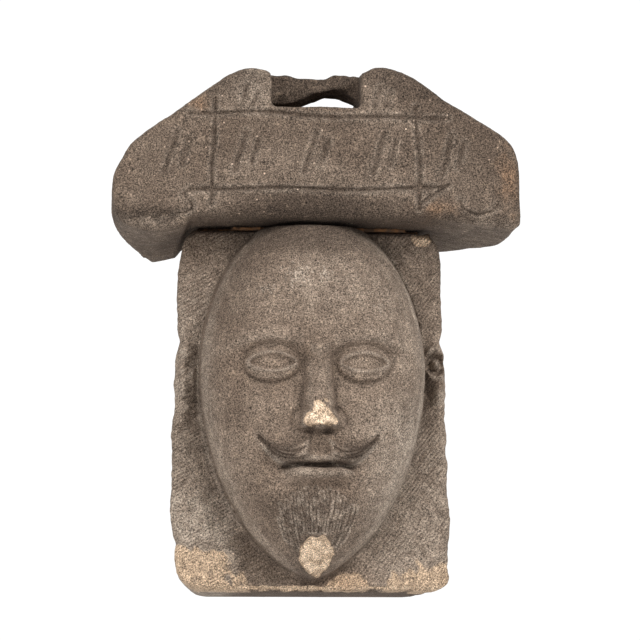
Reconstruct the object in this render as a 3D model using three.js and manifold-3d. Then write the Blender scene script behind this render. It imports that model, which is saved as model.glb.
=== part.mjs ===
// A carved stone corbel in two stones: a block with a bearded man's head in high relief,
// and a wide cap stone with a slot under a thin bridge, laid on the block in a bed of mortar.
// Millimetres, +Z up. The origin is the middle of the block's back face, which is built into
// the wall. The carved front looks along -Y.
import * as THREE from "three";
import { mergeVertices } from "three/addons/utils/BufferGeometryUtils.js";
import Module from "manifold-3d";

const wasm = await Module();
wasm.setup();

// Block
const BLOCK_HEIGHT = 308;
const BLOCK_WIDTH_TOP = 222;
const BLOCK_WIDTH_FOOT = 238;
const BLOCK_DEPTH = 150;
const BLOCK_DRAFT = 12;
const BLOCK_ARRIS = 7;
const BLOCK_CORNER = 11;
const FIELD_SINKING = 7;

// Head: its crown is lost under the cap, and its pointed beard stops above the foot
const HEAD_WIDTH = 192;
const HEAD_RELIEF = 76;
const HEAD_OFFSET = 1.5;
const HEAD_BULGE = 2.8;
const HEAD_BOW = 0.2;
const CROWN_HIDDEN = 16;
const BEARD_TO_FOOT = 11;
const BEARD_LENGTH = 38;
const JAW_TAPER = 1.6;
const CROWN_TAPER = 2;
const TAPER_BLEND = 90;
const EDGE_POWER = 0.5;
const CROWN_SOFTNESS = 0.75;
const CROWN_BLEND = 70;
const EYE_SINKING = 11;
const LID_RELIEF = 8;
const NOSE_RELIEF = 26;
const WING_RELIEF = 9;
const WING_LIFT = 9;
const NOSE_BREAK = 8;
const LIP_RELIEF = 6;
const UPPER_LIP_RISE = 6;
const LOWER_LIP_DROP = 7.5;
const LIP_TAPER = 20;
const LIP_HOLLOW_DROP = 21;
const MOUTH_SINKING = 10;
const MOUSTACHE_RELIEF = 7;
const MOUSTACHE_WIDTH = 17;
const MOUSTACHE_SAG = 10;
const BEARD_RELIEF = 5;
const BEARD_BELOW_MOUTH = 15;
const BEARD_SPREAD = 7;
const CHIN_BREAK = 5;
const CHIN_BREAK_REACH = 15;
const EAR_RELIEF = 15;
const EAR_WIDTH = 20;
const EAR_HEIGHT = 52;
const EAR_LIFT = 12;

// Cap stone
const CAP_WIDTH = 341;
const CAP_HEIGHT = 127;
const CAP_OVERHANG = 60;
const CAP_OFFSET = 1;
const CAP_SIDE_HEIGHT = 42;
const SHOULDER_RUN = 17;
const SHOULDER_RISE = 21;
const RIGHT_SHOULDER_LIFT = 9;
const LEFT_DROOP = 10;
const RIGHT_DROOP = 5;
const LEVEL_SOFFIT_WIDTH = 196;
const CAP_ARRIS = 7;
const CAP_BELLY_ROLL = 8;
const LEFT_END_RADIUS = 24;
const RIGHT_END_RADIUS = 8;
const SADDLE_DROP = 4;
const EAR_DISTANCE = 112;
const EAR_RADIUS = 17;
const LEFT_CORNER_DEPTH = 150;
const LEFT_CORNER_WIDTH = 40;
const RIGHT_CORNER_DEPTH = 110;
const RIGHT_CORNER_WIDTH = 58;

// Slot through the top of the cap, and the bridge left over it
const SLOT_WIDTH = 76;
const SLOT_DEPTH_BELOW_TOP = 34;
const FRONT_RECESS = 30;
const BRIDGE_DEPTH = 40;
const BRIDGE_THIN = 14;
const BRIDGE_THICK = 22;
const OVERCUT = 10;

// Incised frame on the cap's face
const FRAME_WIDTH = 174;
const FRAME_HEIGHT = 63;
const FRAME_ABOVE_SOFFIT = 22;
const FRAME_OVERRUN = 20;
const FRAME_FOOT = 14;
const FRAME_HORN = 10;
const GROOVE_WIDTH = 4;
const STROKE_HEIGHTS = [34, 20];
const STROKE_LEAN = 5;
const STROKE_GAP = 12;
const STROKE_PITCH = 58;
const STROKE_PAIRS = 5;

// Joint between the stones
const JOINT = 3;
const BED_SETBACK = 5;
const CLEARANCE = 0.3;

// Facets
const FOREHEAD_ROWS = 12;
const FACE_ROWS = 42;
const LEVEL_ROWS = FOREHEAD_ROWS + FACE_ROWS;
const CHIN_ROWS = 16;
const HEAD_COLUMNS = 21;
const FIELD_COLUMNS = 5;
const OUTLINE_STEP = 8;
const ARRIS_STEPS = 3;

const STONE = 0x83746a;
const MORTAR = 0x8a6434;

// Places worked out from the sizes
const blockTop = BLOCK_HEIGHT / 2;
const blockFoot = -BLOCK_HEIGHT / 2;
const soffit = blockTop + JOINT + 2 * CLEARANCE;
const capDepth = BLOCK_DEPTH + CAP_OVERHANG;
const capFront = -capDepth;

const crown = blockTop + CROWN_HIDDEN;
const beardTip = blockFoot + BEARD_TO_FOOT;
const chin = beardTip + BEARD_LENGTH;

// The classical canon: eyes halfway down the head, and brow, nose and chin at thirds of the
// face below the hairline, with the mouth a third of the way from nose to chin.
const headHeight = crown - chin;
const hairline = crown - 0.13 * headHeight;
const third = (hairline - chin) / 3;
const eyeLine = crown - headHeight / 2;
const brow = hairline - third;
const browTop = brow - third / 4;
const noseBase = brow - third;
const mouth = noseBase - third / 3;
const eyeWidth = HEAD_WIDTH / 5;
const fanTop = mouth - third / 3;

const clamp01 = (t) => Math.min(1, Math.max(0, t));
const smooth = (t) => clamp01(t) ** 2 * (3 - 2 * clamp01(t));
const mix = (a, b, t) => a + (b - a) * t;
const hill = (distance, reach) => Math.exp(-((distance / reach) ** 2));

function blockHalfWidth(z) {
  return mix(BLOCK_WIDTH_FOOT, BLOCK_WIDTH_TOP, (z - blockFoot) / BLOCK_HEIGHT) / 2;
}

// The power that shapes the head's outline: round above the eyes, tapering below them
function taperAt(z) {
  return mix(JAW_TAPER, CROWN_TAPER, smooth((z - eyeLine) / TAPER_BLEND + 0.5));
}

// 0 at the middle of the head, 1 on its outline
function headReach(x, z) {
  const across = Math.abs(x) / (HEAD_WIDTH / 2);
  const along = z > eyeLine
    ? (z - eyeLine) / (crown - eyeLine)
    : (eyeLine - z) / (eyeLine - beardTip);
  return across ** taperAt(z) + along ** 2;
}

function headForm(x, z) {
  const reach = headReach(x, z);
  if (reach >= 1) {
    return 0;
  }
  const bow = 1 - HEAD_BOW * ((z - eyeLine + third / 3) / (headHeight / 2)) ** 2;
  const power = mix(EDGE_POWER, CROWN_SOFTNESS, smooth((z - browTop) / CROWN_BLEND));
  return HEAD_RELIEF * bow * (1 - reach ** HEAD_BULGE) ** power;
}

function eyeForm(x, z) {
  const u = Math.abs(x) - eyeWidth;
  const v = z - eyeLine;
  const arch = 0.52 * eyeWidth * (1 - 0.35 * (u / eyeWidth) ** 2);
  const fade = hill(u, 0.95 * eyeWidth) * hill(Math.min(v, 0), 0.75 * eyeWidth);
  const sink = smooth((arch - v) / 8) * fade;
  const ball = Math.max(0, 1 - (u / (0.56 * eyeWidth)) ** 2 - (v / (0.34 * eyeWidth)) ** 2);
  return -EYE_SINKING * sink + LID_RELIEF * Math.sqrt(ball);
}

function noseForm(x, z) {
  const down = clamp01((brow - z) / (brow - noseBase));
  const half = mix(0.2, 0.45, down) * eyeWidth;
  const ridge = Math.max(0, 1 - (Math.abs(x) / half) ** 1.7);
  const underside = smooth((z - noseBase) / 10);
  const bridge = NOSE_RELIEF * down ** 0.8 * ridge;
  const wing = WING_RELIEF * hill(Math.abs(x) - 0.36 * eyeWidth, 7) * hill(z - noseBase - WING_LIFT, 8);
  const whole = (bridge + wing) * underside;
  const broken = NOSE_RELIEF - NOSE_BREAK;
  return z < brow ? Math.min(whole, broken) : 0;
}

function mouthForm(x, z) {
  const half = 0.86 * eyeWidth;
  const v = z - mouth;
  const inside = smooth((half - Math.abs(x)) / LIP_TAPER);
  const lips = LIP_RELIEF * (0.8 * hill(v - UPPER_LIP_RISE, 5) + hill(v + LOWER_LIP_DROP, 6));
  const slit = MOUTH_SINKING * hill(v, 3.2);
  const under = 4 * hill(v + LIP_HOLLOW_DROP, 8);
  return inside * (lips - slit - under);
}

// Each half sweeps out from under the nose, down over the lip, and curls up at its end
function moustacheForm(x, z) {
  const along = (Math.abs(x) - 5) / (1.2 * eyeWidth);
  if (along < 0 || along > 1) {
    return 0;
  }
  const sag = MOUSTACHE_SAG * Math.sin(Math.PI * along ** 0.8);
  const middle = mix(noseBase, mouth, 0.35) - sag + 4 * along ** 4;
  const half = (MOUSTACHE_WIDTH / 2) * (1 - along ** 2) ** 0.6 + 1;
  return MOUSTACHE_RELIEF * smooth(along * 6) * Math.max(0, 1 - ((z - middle) / half) ** 2);
}

function beardForm(x, z) {
  const start = mouth - BEARD_BELOW_MOUTH;
  const down = clamp01((start - z) / (start - beardTip));
  const spread = smooth(down * BEARD_SPREAD + 0.25);
  const half = 0.34 * HEAD_WIDTH * Math.sqrt(Math.max(0.02, 1 - down)) * spread;
  return z < start ? BEARD_RELIEF * Math.max(0, 1 - (x / half) ** 2) * smooth(down * 5) : 0;
}

// A worn boss beside the cheek, hollow in the middle, in what room the block's edge leaves
function earForm(x, z) {
  const middle = (HEAD_WIDTH / 2 + blockHalfWidth(z)) / 2;
  const u = (Math.abs(x) - middle) / (EAR_WIDTH / 2);
  const v = (z - (brow + noseBase) / 2 - EAR_LIFT) / (EAR_HEIGHT / 2);
  const radius = Math.hypot(u, v);
  return EAR_RELIEF * (hill(radius, 0.85) - 0.4 * hill(radius, 0.4));
}

function chinBreak(x, z) {
  return CHIN_BREAK * hill(x, CHIN_BREAK_REACH) * hill(z - beardTip - CHIN_BREAK_REACH, 12);
}

// How far the carving stands out of the block's front plane
function relief(blockX, z) {
  const x = blockX - HEAD_OFFSET;
  const reach = headReach(x, z);
  const field = -FIELD_SINKING * hill(Math.max(0, reach - 1), 0.22) * smooth((reach - 0.98) / 0.06);
  if (reach >= 1) {
    return field + earForm(x, z);
  }
  const edge = smooth((1 - reach) / 0.25);
  const features = eyeForm(x, z) + noseForm(x, z) + mouthForm(x, z) + moustacheForm(x, z)
    + beardForm(x, z) - chinBreak(x, z);
  return Math.max(headForm(x, z) + edge * features, 0) + (1 - edge) * earForm(x, z);
}

// A solid from a list of triangles, turned so that its faces point out
function solid(points, triangles) {
  let volume = 0;
  for (const [a, b, c] of triangles) {
    volume += points[a].dot(new THREE.Vector3().crossVectors(points[b], points[c]));
  }
  const geometry = new THREE.BufferGeometry();
  const places = points.flatMap((p) => p.toArray());
  geometry.setAttribute("position", new THREE.Float32BufferAttribute(places, 3));
  geometry.setIndex(triangles.flatMap(([a, b, c]) => (volume < 0 ? [a, c, b] : [a, b, c])));
  return geometry;
}

function addFan(points, triangles, ring, middle) {
  const centre = points.push(middle) - 1;
  ring.forEach((point, i) => triangles.push([centre, point, ring[(i + 1) % ring.length]]));
}

// Rows of the front's net, each as an angle round the head's outline. They are level and even
// down the forehead, level and closer over the face, and fan out round the chin.
function rowAngle(row) {
  const faceTop = brow + BLOCK_ARRIS;
  const toAngle = (z) => Math.asin((z - eyeLine) / (z > eyeLine ? crown - eyeLine : eyeLine - beardTip));
  if (row <= FOREHEAD_ROWS) {
    return toAngle(mix(blockTop, faceTop, row / FOREHEAD_ROWS));
  }
  if (row <= LEVEL_ROWS) {
    return toAngle(mix(faceTop, fanTop, (row - FOREHEAD_ROWS) / FACE_ROWS));
  }
  return mix(toAngle(fanTop), -Math.PI / 2, (row - LEVEL_ROWS) / CHIN_ROWS);
}

function outlinePoint(row) {
  const angle = rowAngle(row);
  const z = eyeLine + (angle > 0 ? crown - eyeLine : eyeLine - beardTip) * Math.sin(angle);
  const across = Math.max(0, Math.cos(angle)) ** (2 / taperAt(z));
  return new THREE.Vector2((HEAD_WIDTH / 2) * across, z);
}

// The row's start on the head's middle line: level with the outline, then drawing up above the chin
function spinePoint(row) {
  const z = outlinePoint(row).y;
  const focus = mix(fanTop, beardTip, 0.55);
  const slack = fanTop - focus;
  return new THREE.Vector2(0, z > fanTop ? z : focus + slack * Math.exp((z - fanTop) / slack));
}

// How far a point of the front lies inside the block's rounded outline
function insetFromEdge(x, z) {
  const toSide = blockHalfWidth(z) - Math.abs(x);
  const toEnd = blockTop - Math.abs(z);
  if (toSide < BLOCK_CORNER && toEnd < BLOCK_CORNER) {
    return BLOCK_CORNER - Math.hypot(BLOCK_CORNER - toSide, BLOCK_CORNER - toEnd);
  }
  return Math.min(toSide, toEnd);
}

// The row's end on the block's own outline, down its side and along its foot to the middle
function edgePoint(row) {
  const level = blockTop - outlinePoint(Math.min(row, LEVEL_ROWS)).y;
  const rest = BLOCK_HEIGHT + BLOCK_WIDTH_FOOT / 2 - level;
  const run = level + rest * Math.max(0, (row - LEVEL_ROWS) / CHIN_ROWS);
  const z = Math.max(blockFoot, blockTop - run);
  const x = z > blockFoot ? blockHalfWidth(z) : BLOCK_WIDTH_FOOT / 2 + BLOCK_HEIGHT - run;
  if (insetFromEdge(x, z) >= 0) {
    return new THREE.Vector2(x, z);
  }
  const cornerZ = Math.sign(z) * (blockTop - BLOCK_CORNER);
  const centre = new THREE.Vector2(blockHalfWidth(z) - BLOCK_CORNER, cornerZ);
  return new THREE.Vector2(x, z).sub(centre).setLength(BLOCK_CORNER).add(centre);
}

function frontPoint(x, z) {
  const t = clamp01(insetFromEdge(x, z) / BLOCK_ARRIS);
  const underCap = z > 0 && headReach(x - HEAD_OFFSET, z) < 1;
  const round = underCap ? 0 : BLOCK_ARRIS * (1 - Math.sqrt(1 - (1 - t) ** 2));
  return new THREE.Vector3(x, round - BLOCK_DEPTH - relief(x, z), z);
}

// The front is a net of rows that start on the head's middle line, cross its outline and end
// on the block's edge, so that no facet straddles the outline.
function blockGeometry() {
  const points = [];
  const triangles = [];
  const columns = HEAD_COLUMNS + FIELD_COLUMNS;
  const rows = LEVEL_ROWS + CHIN_ROWS;
  const index = new Map();
  const at = (row, column) => index.get(`${row},${row === rows ? Math.abs(column) : column}`);
  for (let row = 0; row <= rows; row++) {
    const spine = spinePoint(row);
    const outline = outlinePoint(row);
    const edge = edgePoint(row);
    for (let column = row === rows ? 0 : -columns; column <= columns; column++) {
      const out = Math.abs(column);
      const t = out / HEAD_COLUMNS;
      const near = mix(t, Math.sin(t * Math.PI / 2), 0.35);
      const far = Math.max(0, (out - HEAD_COLUMNS) / FIELD_COLUMNS);
      const p = out <= HEAD_COLUMNS ? spine.clone().lerp(outline, near) : outline.clone().lerp(edge, far);
      const x = Math.sign(column) * p.x + HEAD_OFFSET * (1 - far);
      index.set(`${row},${column}`, points.push(frontPoint(x, row === 0 ? blockTop : p.y)) - 1);
    }
  }
  for (let row = 0; row < rows; row++) {
    for (let column = -columns; column < columns; column++) {
      const quad = [at(row, column), at(row, column + 1), at(row + 1, column + 1), at(row + 1, column)];
      const halves = column < 0 ? [[0, 1, 2], [0, 2, 3]] : [[0, 1, 3], [1, 2, 3]];
      for (const corners of halves) {
        const triangle = corners.map((c) => quad[c]);
        if (new Set(triangle).size === 3) {
          triangles.push(triangle);
        }
      }
    }
  }
  const rim = [];
  for (let column = -columns; column <= columns; column++) {
    rim.push(at(0, column));
  }
  for (let row = 1; row <= rows; row++) {
    rim.push(at(row, columns));
  }
  for (let row = rows - 1; row > 0; row--) {
    rim.push(at(row, -columns));
  }
  // The sides draw in towards the back, so that the stone slides into its hole in the wall
  const back = rim.map((p) => {
    const { x, z } = points[p];
    const share = 1 - BLOCK_DRAFT / blockHalfWidth(z);
    return points.push(new THREE.Vector3(x * share, 0, z)) - 1;
  });
  rim.forEach((p, k) => {
    const next = (k + 1) % rim.length;
    triangles.push([p, back[k], rim[next]], [rim[next], back[k], back[next]]);
  });
  addFan(points, triangles, [...back].reverse(), new THREE.Vector3(0, 0, 0));
  return solid(points, triangles);
}

// The cap's front outline: a soffit that is level over the block and droops at both ends, more
// and rounder at the left, then up over the shoulders, of which the right is the higher, and the ears
function capOutline() {
  const half = CAP_WIDTH / 2;
  const ear = EAR_DISTANCE / 2;
  const leftShoulder = CAP_SIDE_HEIGHT + SHOULDER_RISE;
  const shape = new THREE.Shape();
  const side = (s, shoulder, droop, radius) => [
    [s * (half - radius), -droop],
    [s * half, -droop, s * half, radius - droop],
    [s * half, CAP_SIDE_HEIGHT],
    [s * half, shoulder - SHOULDER_RISE / 2, s * (half - SHOULDER_RUN), shoulder],
    [s * (ear + EAR_RADIUS), CAP_HEIGHT - EAR_RADIUS / 3],
    [s * (ear + EAR_RADIUS / 3), CAP_HEIGHT, s * ear, CAP_HEIGHT],
    [s * (ear - EAR_RADIUS / 2), CAP_HEIGHT, s * SLOT_WIDTH / 2, CAP_HEIGHT - SADDLE_DROP],
  ];
  const right = side(1, leftShoulder + RIGHT_SHOULDER_LIFT, RIGHT_DROOP, RIGHT_END_RADIUS);
  const left = side(-1, leftShoulder, LEFT_DROOP, LEFT_END_RADIUS);
  shape.moveTo(...left[0]);
  shape.lineTo(-LEVEL_SOFFIT_WIDTH / 2, 0);
  shape.lineTo(LEVEL_SOFFIT_WIDTH / 2, 0);
  for (const step of right) {
    step.length === 2 ? shape.lineTo(...step) : shape.quadraticCurveTo(...step);
  }
  shape.lineTo(-SLOT_WIDTH / 2, CAP_HEIGHT - SADDLE_DROP);
  for (let k = left.length - 1; k > 0; k--) {
    const end = left[k - 1].slice(-2);
    left[k].length === 2 ? shape.lineTo(...end) : shape.quadraticCurveTo(...left[k].slice(0, 2), ...end);
  }
  const count = Math.round(shape.getLength() / OUTLINE_STEP);
  return shape.getSpacedPoints(count).slice(0, count).map((p) => new THREE.Vector2(p.x, p.y));
}

// Rings of the outline from front to back, drawn in where the arris rounds over.
// Under the belly, above the carved head, the front arris is a wide soft roll.
function capBody() {
  const outline = capOutline();
  const inward = outline.map((p, k) => {
    const next = outline[(k + 1) % outline.length];
    const last = outline[(k + outline.length - 1) % outline.length];
    return new THREE.Vector2(last.y - next.y, next.x - last.x).normalize();
  });
  const rings = [];
  const ring = (y, share, belly) => rings.push(outline.map((p, k) => {
    const roll = belly * CAP_BELLY_ROLL * hill(p.x / (0.27 * CAP_WIDTH), 1) * hill(p.y, 10);
    const drawIn = (CAP_ARRIS + roll) * share;
    return new THREE.Vector3(p.x + inward[k].x * drawIn, y(roll), p.y + inward[k].y * drawIn);
  }));
  for (let k = 0; k <= ARRIS_STEPS; k++) {
    const angle = (k / ARRIS_STEPS) * Math.PI / 2;
    ring((roll) => capFront + (CAP_ARRIS + roll) * (1 - Math.cos(angle)), 1 - Math.sin(angle), 1);
  }
  for (let k = 0; k <= ARRIS_STEPS; k++) {
    const angle = (k / ARRIS_STEPS) * Math.PI / 2;
    ring(() => -CAP_ARRIS * (1 - Math.sin(angle)), 1 - Math.cos(angle), 0);
  }
  const points = rings.flat();
  const triangles = [];
  const n = outline.length;
  for (let r = 0; r + 1 < rings.length; r++) {
    for (let k = 0; k < n; k++) {
      const [a, b] = [r * n + k, r * n + ((k + 1) % n)];
      triangles.push([a, b, b + n], [a, b + n, a + n]);
    }
  }
  const first = rings[0].map((_, k) => k);
  const last = first.map((k) => (rings.length - 1) * n + k);
  addFan(points, triangles, [...first].reverse(), new THREE.Vector3(0, capFront, CAP_HEIGHT / 2));
  addFan(points, triangles, last, new THREE.Vector3(0, 0, CAP_HEIGHT / 2));
  return solid(points, triangles);
}

function toManifold(geometry) {
  const bare = geometry.clone();
  bare.deleteAttribute("normal");
  bare.deleteAttribute("uv");
  const merged = mergeVertices(bare, 1e-4);
  const mesh = new wasm.Mesh({
    numProp: 3,
    vertProperties: new Float32Array(merged.attributes.position.array),
    triVerts: new Uint32Array(merged.index.array),
  });
  return new wasm.Manifold(mesh);
}

function fromManifold(manifold) {
  const mesh = manifold.getMesh();
  const geometry = new THREE.BufferGeometry();
  geometry.setAttribute("position", new THREE.BufferAttribute(new Float32Array(mesh.vertProperties), 3));
  geometry.setIndex(new THREE.BufferAttribute(new Uint32Array(mesh.triVerts), 1));
  return geometry;
}

function box(x0, x1, y0, y1, z0, z1) {
  const geometry = new THREE.BoxGeometry(x1 - x0, y1 - y0, z1 - z0);
  geometry.translate((x0 + x1) / 2, (y0 + y1) / 2, (z0 + z1) / 2);
  return geometry;
}

// A square bar lying on the cap's face with one edge inwards, which cuts a V groove
function groove(x0, z0, x1, z1) {
  const side = GROOVE_WIDTH / Math.SQRT2;
  const bar = new THREE.BoxGeometry(Math.hypot(x1 - x0, z1 - z0), side, side);
  bar.rotateX(Math.PI / 4);
  bar.rotateY(-Math.atan2(z1 - z0, x1 - x0));
  bar.translate((x0 + x1) / 2, capFront, (z0 + z1) / 2);
  return bar;
}

// The slot's roof is the underside of the bridge: thick at its left, thin right of its middle
function slotGeometry() {
  const half = SLOT_WIDTH / 2;
  const floor = CAP_HEIGHT - SLOT_DEPTH_BELOW_TOP;
  const top = CAP_HEIGHT - SADDLE_DROP;
  const shape = new THREE.Shape();
  shape.moveTo(-half, floor);
  shape.lineTo(half, floor);
  shape.lineTo(half, top - BRIDGE_THICK);
  shape.quadraticCurveTo(0.9 * half, top - BRIDGE_THIN, 0.3 * half, top - BRIDGE_THIN);
  shape.quadraticCurveTo(-0.4 * half, top - BRIDGE_THIN, -half, top - BRIDGE_THICK);
  shape.closePath();
  const depth = capDepth + 2 * OVERCUT;
  const geometry = new THREE.ExtrudeGeometry(shape, { depth, bevelEnabled: false, curveSegments: 6 });
  geometry.rotateX(Math.PI / 2);
  geometry.translate(0, OVERCUT, 0);
  return geometry;
}

function recessGeometry(y0, y1) {
  const floor = CAP_HEIGHT - SLOT_DEPTH_BELOW_TOP;
  return box(-SLOT_WIDTH / 2, SLOT_WIDTH / 2, y0, y1, floor, CAP_HEIGHT + OVERCUT);
}

// The back corners are dressed off on plan, where the cap enters the wall
function backCornerGeometry(side, width, along) {
  const half = CAP_WIDTH / 2;
  const shape = new THREE.Shape();
  const slope = width / along;
  shape.moveTo(side * (half + OVERCUT), -along - OVERCUT / slope);
  shape.lineTo(side * (half - width - OVERCUT * slope), OVERCUT);
  shape.lineTo(side * (half + OVERCUT), OVERCUT);
  shape.closePath();
  const depth = CAP_HEIGHT + LEFT_DROOP + 2 * OVERCUT;
  const geometry = new THREE.ExtrudeGeometry(shape, { depth, bevelEnabled: false });
  geometry.translate(0, 0, -LEFT_DROOP - OVERCUT);
  return geometry;
}

// The incised frame, its lines running on past their crossings, and the row of paired strokes
function inscriptionGrooves() {
  const left = -FRAME_WIDTH / 2;
  const low = FRAME_ABOVE_SOFFIT;
  const high = FRAME_ABOVE_SOFFIT + FRAME_HEIGHT;
  const grooves = [];
  for (const x of [left, -left]) {
    grooves.push(groove(x, low - FRAME_FOOT, x, high + FRAME_HORN));
  }
  for (const z of [low, high]) {
    grooves.push(groove(left - FRAME_OVERRUN, z, -left + FRAME_OVERRUN, z));
  }
  const middle = low + FRAME_HEIGHT / 2;
  for (let pair = 0; pair < STROKE_PAIRS; pair++) {
    STROKE_HEIGHTS.forEach((height, k) => {
      const x = (pair - (STROKE_PAIRS - 1) / 2) * STROKE_PITCH + (k - 0.5) * STROKE_GAP;
      const lean = (STROKE_LEAN * height) / STROKE_HEIGHTS[0];
      grooves.push(groove(x - lean, middle - height / 2, x + lean, middle + height / 2));
    });
  }
  return grooves;
}

function capGeometry() {
  const cuts = [
    slotGeometry(),
    recessGeometry(capFront - OVERCUT, capFront + FRONT_RECESS),
    recessGeometry(capFront + FRONT_RECESS + BRIDGE_DEPTH, OVERCUT),
    backCornerGeometry(1, RIGHT_CORNER_WIDTH, RIGHT_CORNER_DEPTH),
    backCornerGeometry(-1, LEFT_CORNER_WIDTH, LEFT_CORNER_DEPTH),
    ...inscriptionGrooves(),
  ];
  const cut = cuts.reduce((stone, tool) => stone.subtract(toManifold(tool)), toManifold(capBody()));
  return fromManifold(cut);
}

function bedGeometry() {
  const half = BLOCK_WIDTH_TOP / 2 - BLOCK_CORNER - BED_SETBACK;
  return box(-half, half, -BLOCK_DEPTH + BED_SETBACK, -BED_SETBACK, 0, JOINT);
}

function piece(name, geometry, colour, z = 0, x = 0) {
  const material = new THREE.MeshStandardMaterial({ color: colour, roughness: 0.95, metalness: 0 });
  const mesh = new THREE.Mesh(geometry, material);
  mesh.name = name;
  mesh.position.set(x, 0, z);
  return mesh;
}

const corbel = new THREE.Group();
corbel.add(piece("head_block", blockGeometry(), STONE));
corbel.add(piece("mortar_bed", bedGeometry(), MORTAR, blockTop + CLEARANCE));
corbel.add(piece("cap_stone", capGeometry(), STONE, soffit, CAP_OFFSET));

export default corbel;
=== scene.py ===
# %% [markdown]
# # A carved stone corbel
# The object is two sandstones and the mortar between them: a block carved with a man's head
# in high relief, and a wide gabled cap stone with a slot under a thin bridge. The solids of
# the construction model give the places and the sizes. This lesson gives each stone its worn
# surface, its fine carving and its colour.
# Everything is in metres, with +Z up, and the carved front looks along -Y.

# %% Load the frame
import math
import bmesh
import bpy
import numpy as np
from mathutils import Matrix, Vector
from mathutils.bvhtree import BVHTree


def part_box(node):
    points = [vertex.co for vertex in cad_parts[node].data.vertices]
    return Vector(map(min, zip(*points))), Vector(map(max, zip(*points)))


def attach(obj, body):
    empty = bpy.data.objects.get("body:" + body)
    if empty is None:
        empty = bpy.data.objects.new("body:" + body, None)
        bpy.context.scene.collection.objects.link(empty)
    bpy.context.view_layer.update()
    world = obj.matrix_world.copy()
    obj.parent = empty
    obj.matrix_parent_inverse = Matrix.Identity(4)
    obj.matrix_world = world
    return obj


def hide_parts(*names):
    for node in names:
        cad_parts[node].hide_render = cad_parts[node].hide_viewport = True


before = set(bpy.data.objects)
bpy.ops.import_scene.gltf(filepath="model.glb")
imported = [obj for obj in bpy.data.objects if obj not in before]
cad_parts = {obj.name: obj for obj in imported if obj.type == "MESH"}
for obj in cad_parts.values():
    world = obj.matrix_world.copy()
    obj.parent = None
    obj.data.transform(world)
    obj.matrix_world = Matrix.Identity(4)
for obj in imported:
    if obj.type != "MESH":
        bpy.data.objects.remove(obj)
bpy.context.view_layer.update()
MM = 0.001

# %% [markdown]
# ## The camera
# The picture was taken from a little below and to the left with a long lens, so the undersides
# show as thin bands. A camera is an object that looks along its own -Z. Turning that axis to
# the line of sight with a quaternion is safer than typing three angles.

# %% Camera
FRAME_PIXELS = 640
FOCAL_PIXELS = 2941
SENSOR_WIDTH = 36.0
CAMERA_PLACE = Vector((-221.1, -2630.7, -230.9)) * MM
CAMERA_AZIMUTH = math.radians(-5.3)
CAMERA_ELEVATION = math.radians(-7.05)

camera_data = bpy.data.cameras.new("long_lens")
camera_data.sensor_width = SENSOR_WIDTH
camera_data.lens = SENSOR_WIDTH * FOCAL_PIXELS / FRAME_PIXELS
camera_data.clip_end = 50.0
camera = bpy.data.objects.new("camera", camera_data)
line_of_sight = Vector((
    -math.sin(CAMERA_AZIMUTH) * math.cos(CAMERA_ELEVATION),
    math.cos(CAMERA_AZIMUTH) * math.cos(CAMERA_ELEVATION),
    -math.sin(CAMERA_ELEVATION),
))
camera.location = CAMERA_PLACE
camera.rotation_mode = "QUATERNION"
camera.rotation_quaternion = line_of_sight.to_track_quat("-Z", "Y")
bpy.context.scene.collection.objects.link(camera)
bpy.context.scene.camera = camera
print("lens", round(camera_data.lens, 1), "mm")

# %% [markdown]
# ## Sizes
# The block's height, the head's place and the cap's place come from the frame. The other sizes
# are the carver's own, in millimetres. The head follows the classical canon: the eyes halfway
# down it, and the brow, the nose and the chin at thirds of the face below the hairline.

# %% Sizes of the block and the head
block_low, block_high = (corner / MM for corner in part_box("head_block"))
cap_low, cap_high = (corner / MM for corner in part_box("cap_stone"))
bed_low, bed_high = (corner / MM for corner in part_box("mortar_bed"))

BLOCK_TOP = block_high.z
BLOCK_FOOT = block_low.z
BLOCK_HEIGHT = BLOCK_TOP - BLOCK_FOOT
BLOCK_WIDTH_TOP = 222
BLOCK_WIDTH_FOOT = 238
BLOCK_DEPTH = 150
BLOCK_DRAFT = 12
BLOCK_ARRIS = 7
BLOCK_CORNER = 11
FIELD_SINKING = 7

HEAD_WIDTH = 192
HEAD_RELIEF = 76
HEAD_OFFSET = 1.5
HEAD_BULGE = 2.8
HEAD_BOW = 0.2
CROWN_HIDDEN = 16
HAIRLINE_SHARE = 0.13
BEARD_TO_FOOT = 11
BEARD_LENGTH = 38
JAW_TAPER = 1.6
CROWN_TAPER = 2
TAPER_BLEND = 90
CROWN_SOFTNESS = 0.75
EAR_LIFT = 12
LEFT_DROOP = 10
SOFFIT = cap_low.z + LEFT_DROOP

CROWN = BLOCK_TOP + CROWN_HIDDEN
BEARD_TIP = BLOCK_FOOT + BEARD_TO_FOOT
CHIN = BEARD_TIP + BEARD_LENGTH
HEAD_HEIGHT = CROWN - CHIN
HAIRLINE = CROWN - HAIRLINE_SHARE * HEAD_HEIGHT
THIRD = (HAIRLINE - CHIN) / 3
EYE_LINE = CROWN - HEAD_HEIGHT / 2
BROW = HAIRLINE - THIRD
NOSE_BASE = BROW - THIRD
MOUTH = NOSE_BASE - THIRD / 3
EYE_WIDTH = HEAD_WIDTH / 5
FAN_TOP = MOUTH - THIRD / 3
print("eyes at", round(EYE_LINE, 1), "nose", round(NOSE_BASE, 1), "mouth", round(MOUTH, 1))


# %% Small curves that every form is built from
def clamp01(t):
    return np.clip(t, 0.0, 1.0)


def smooth(t):
    """0 before 0, 1 after 1, and a soft S between them."""
    return clamp01(t) ** 2 * (3 - 2 * clamp01(t))


def mix(a, b, t):
    return a + (b - a) * t


def hill(distance, reach):
    """A round hill, 1 at its top and about a third at its reach."""
    return np.exp(-((distance / reach) ** 2))


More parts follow.
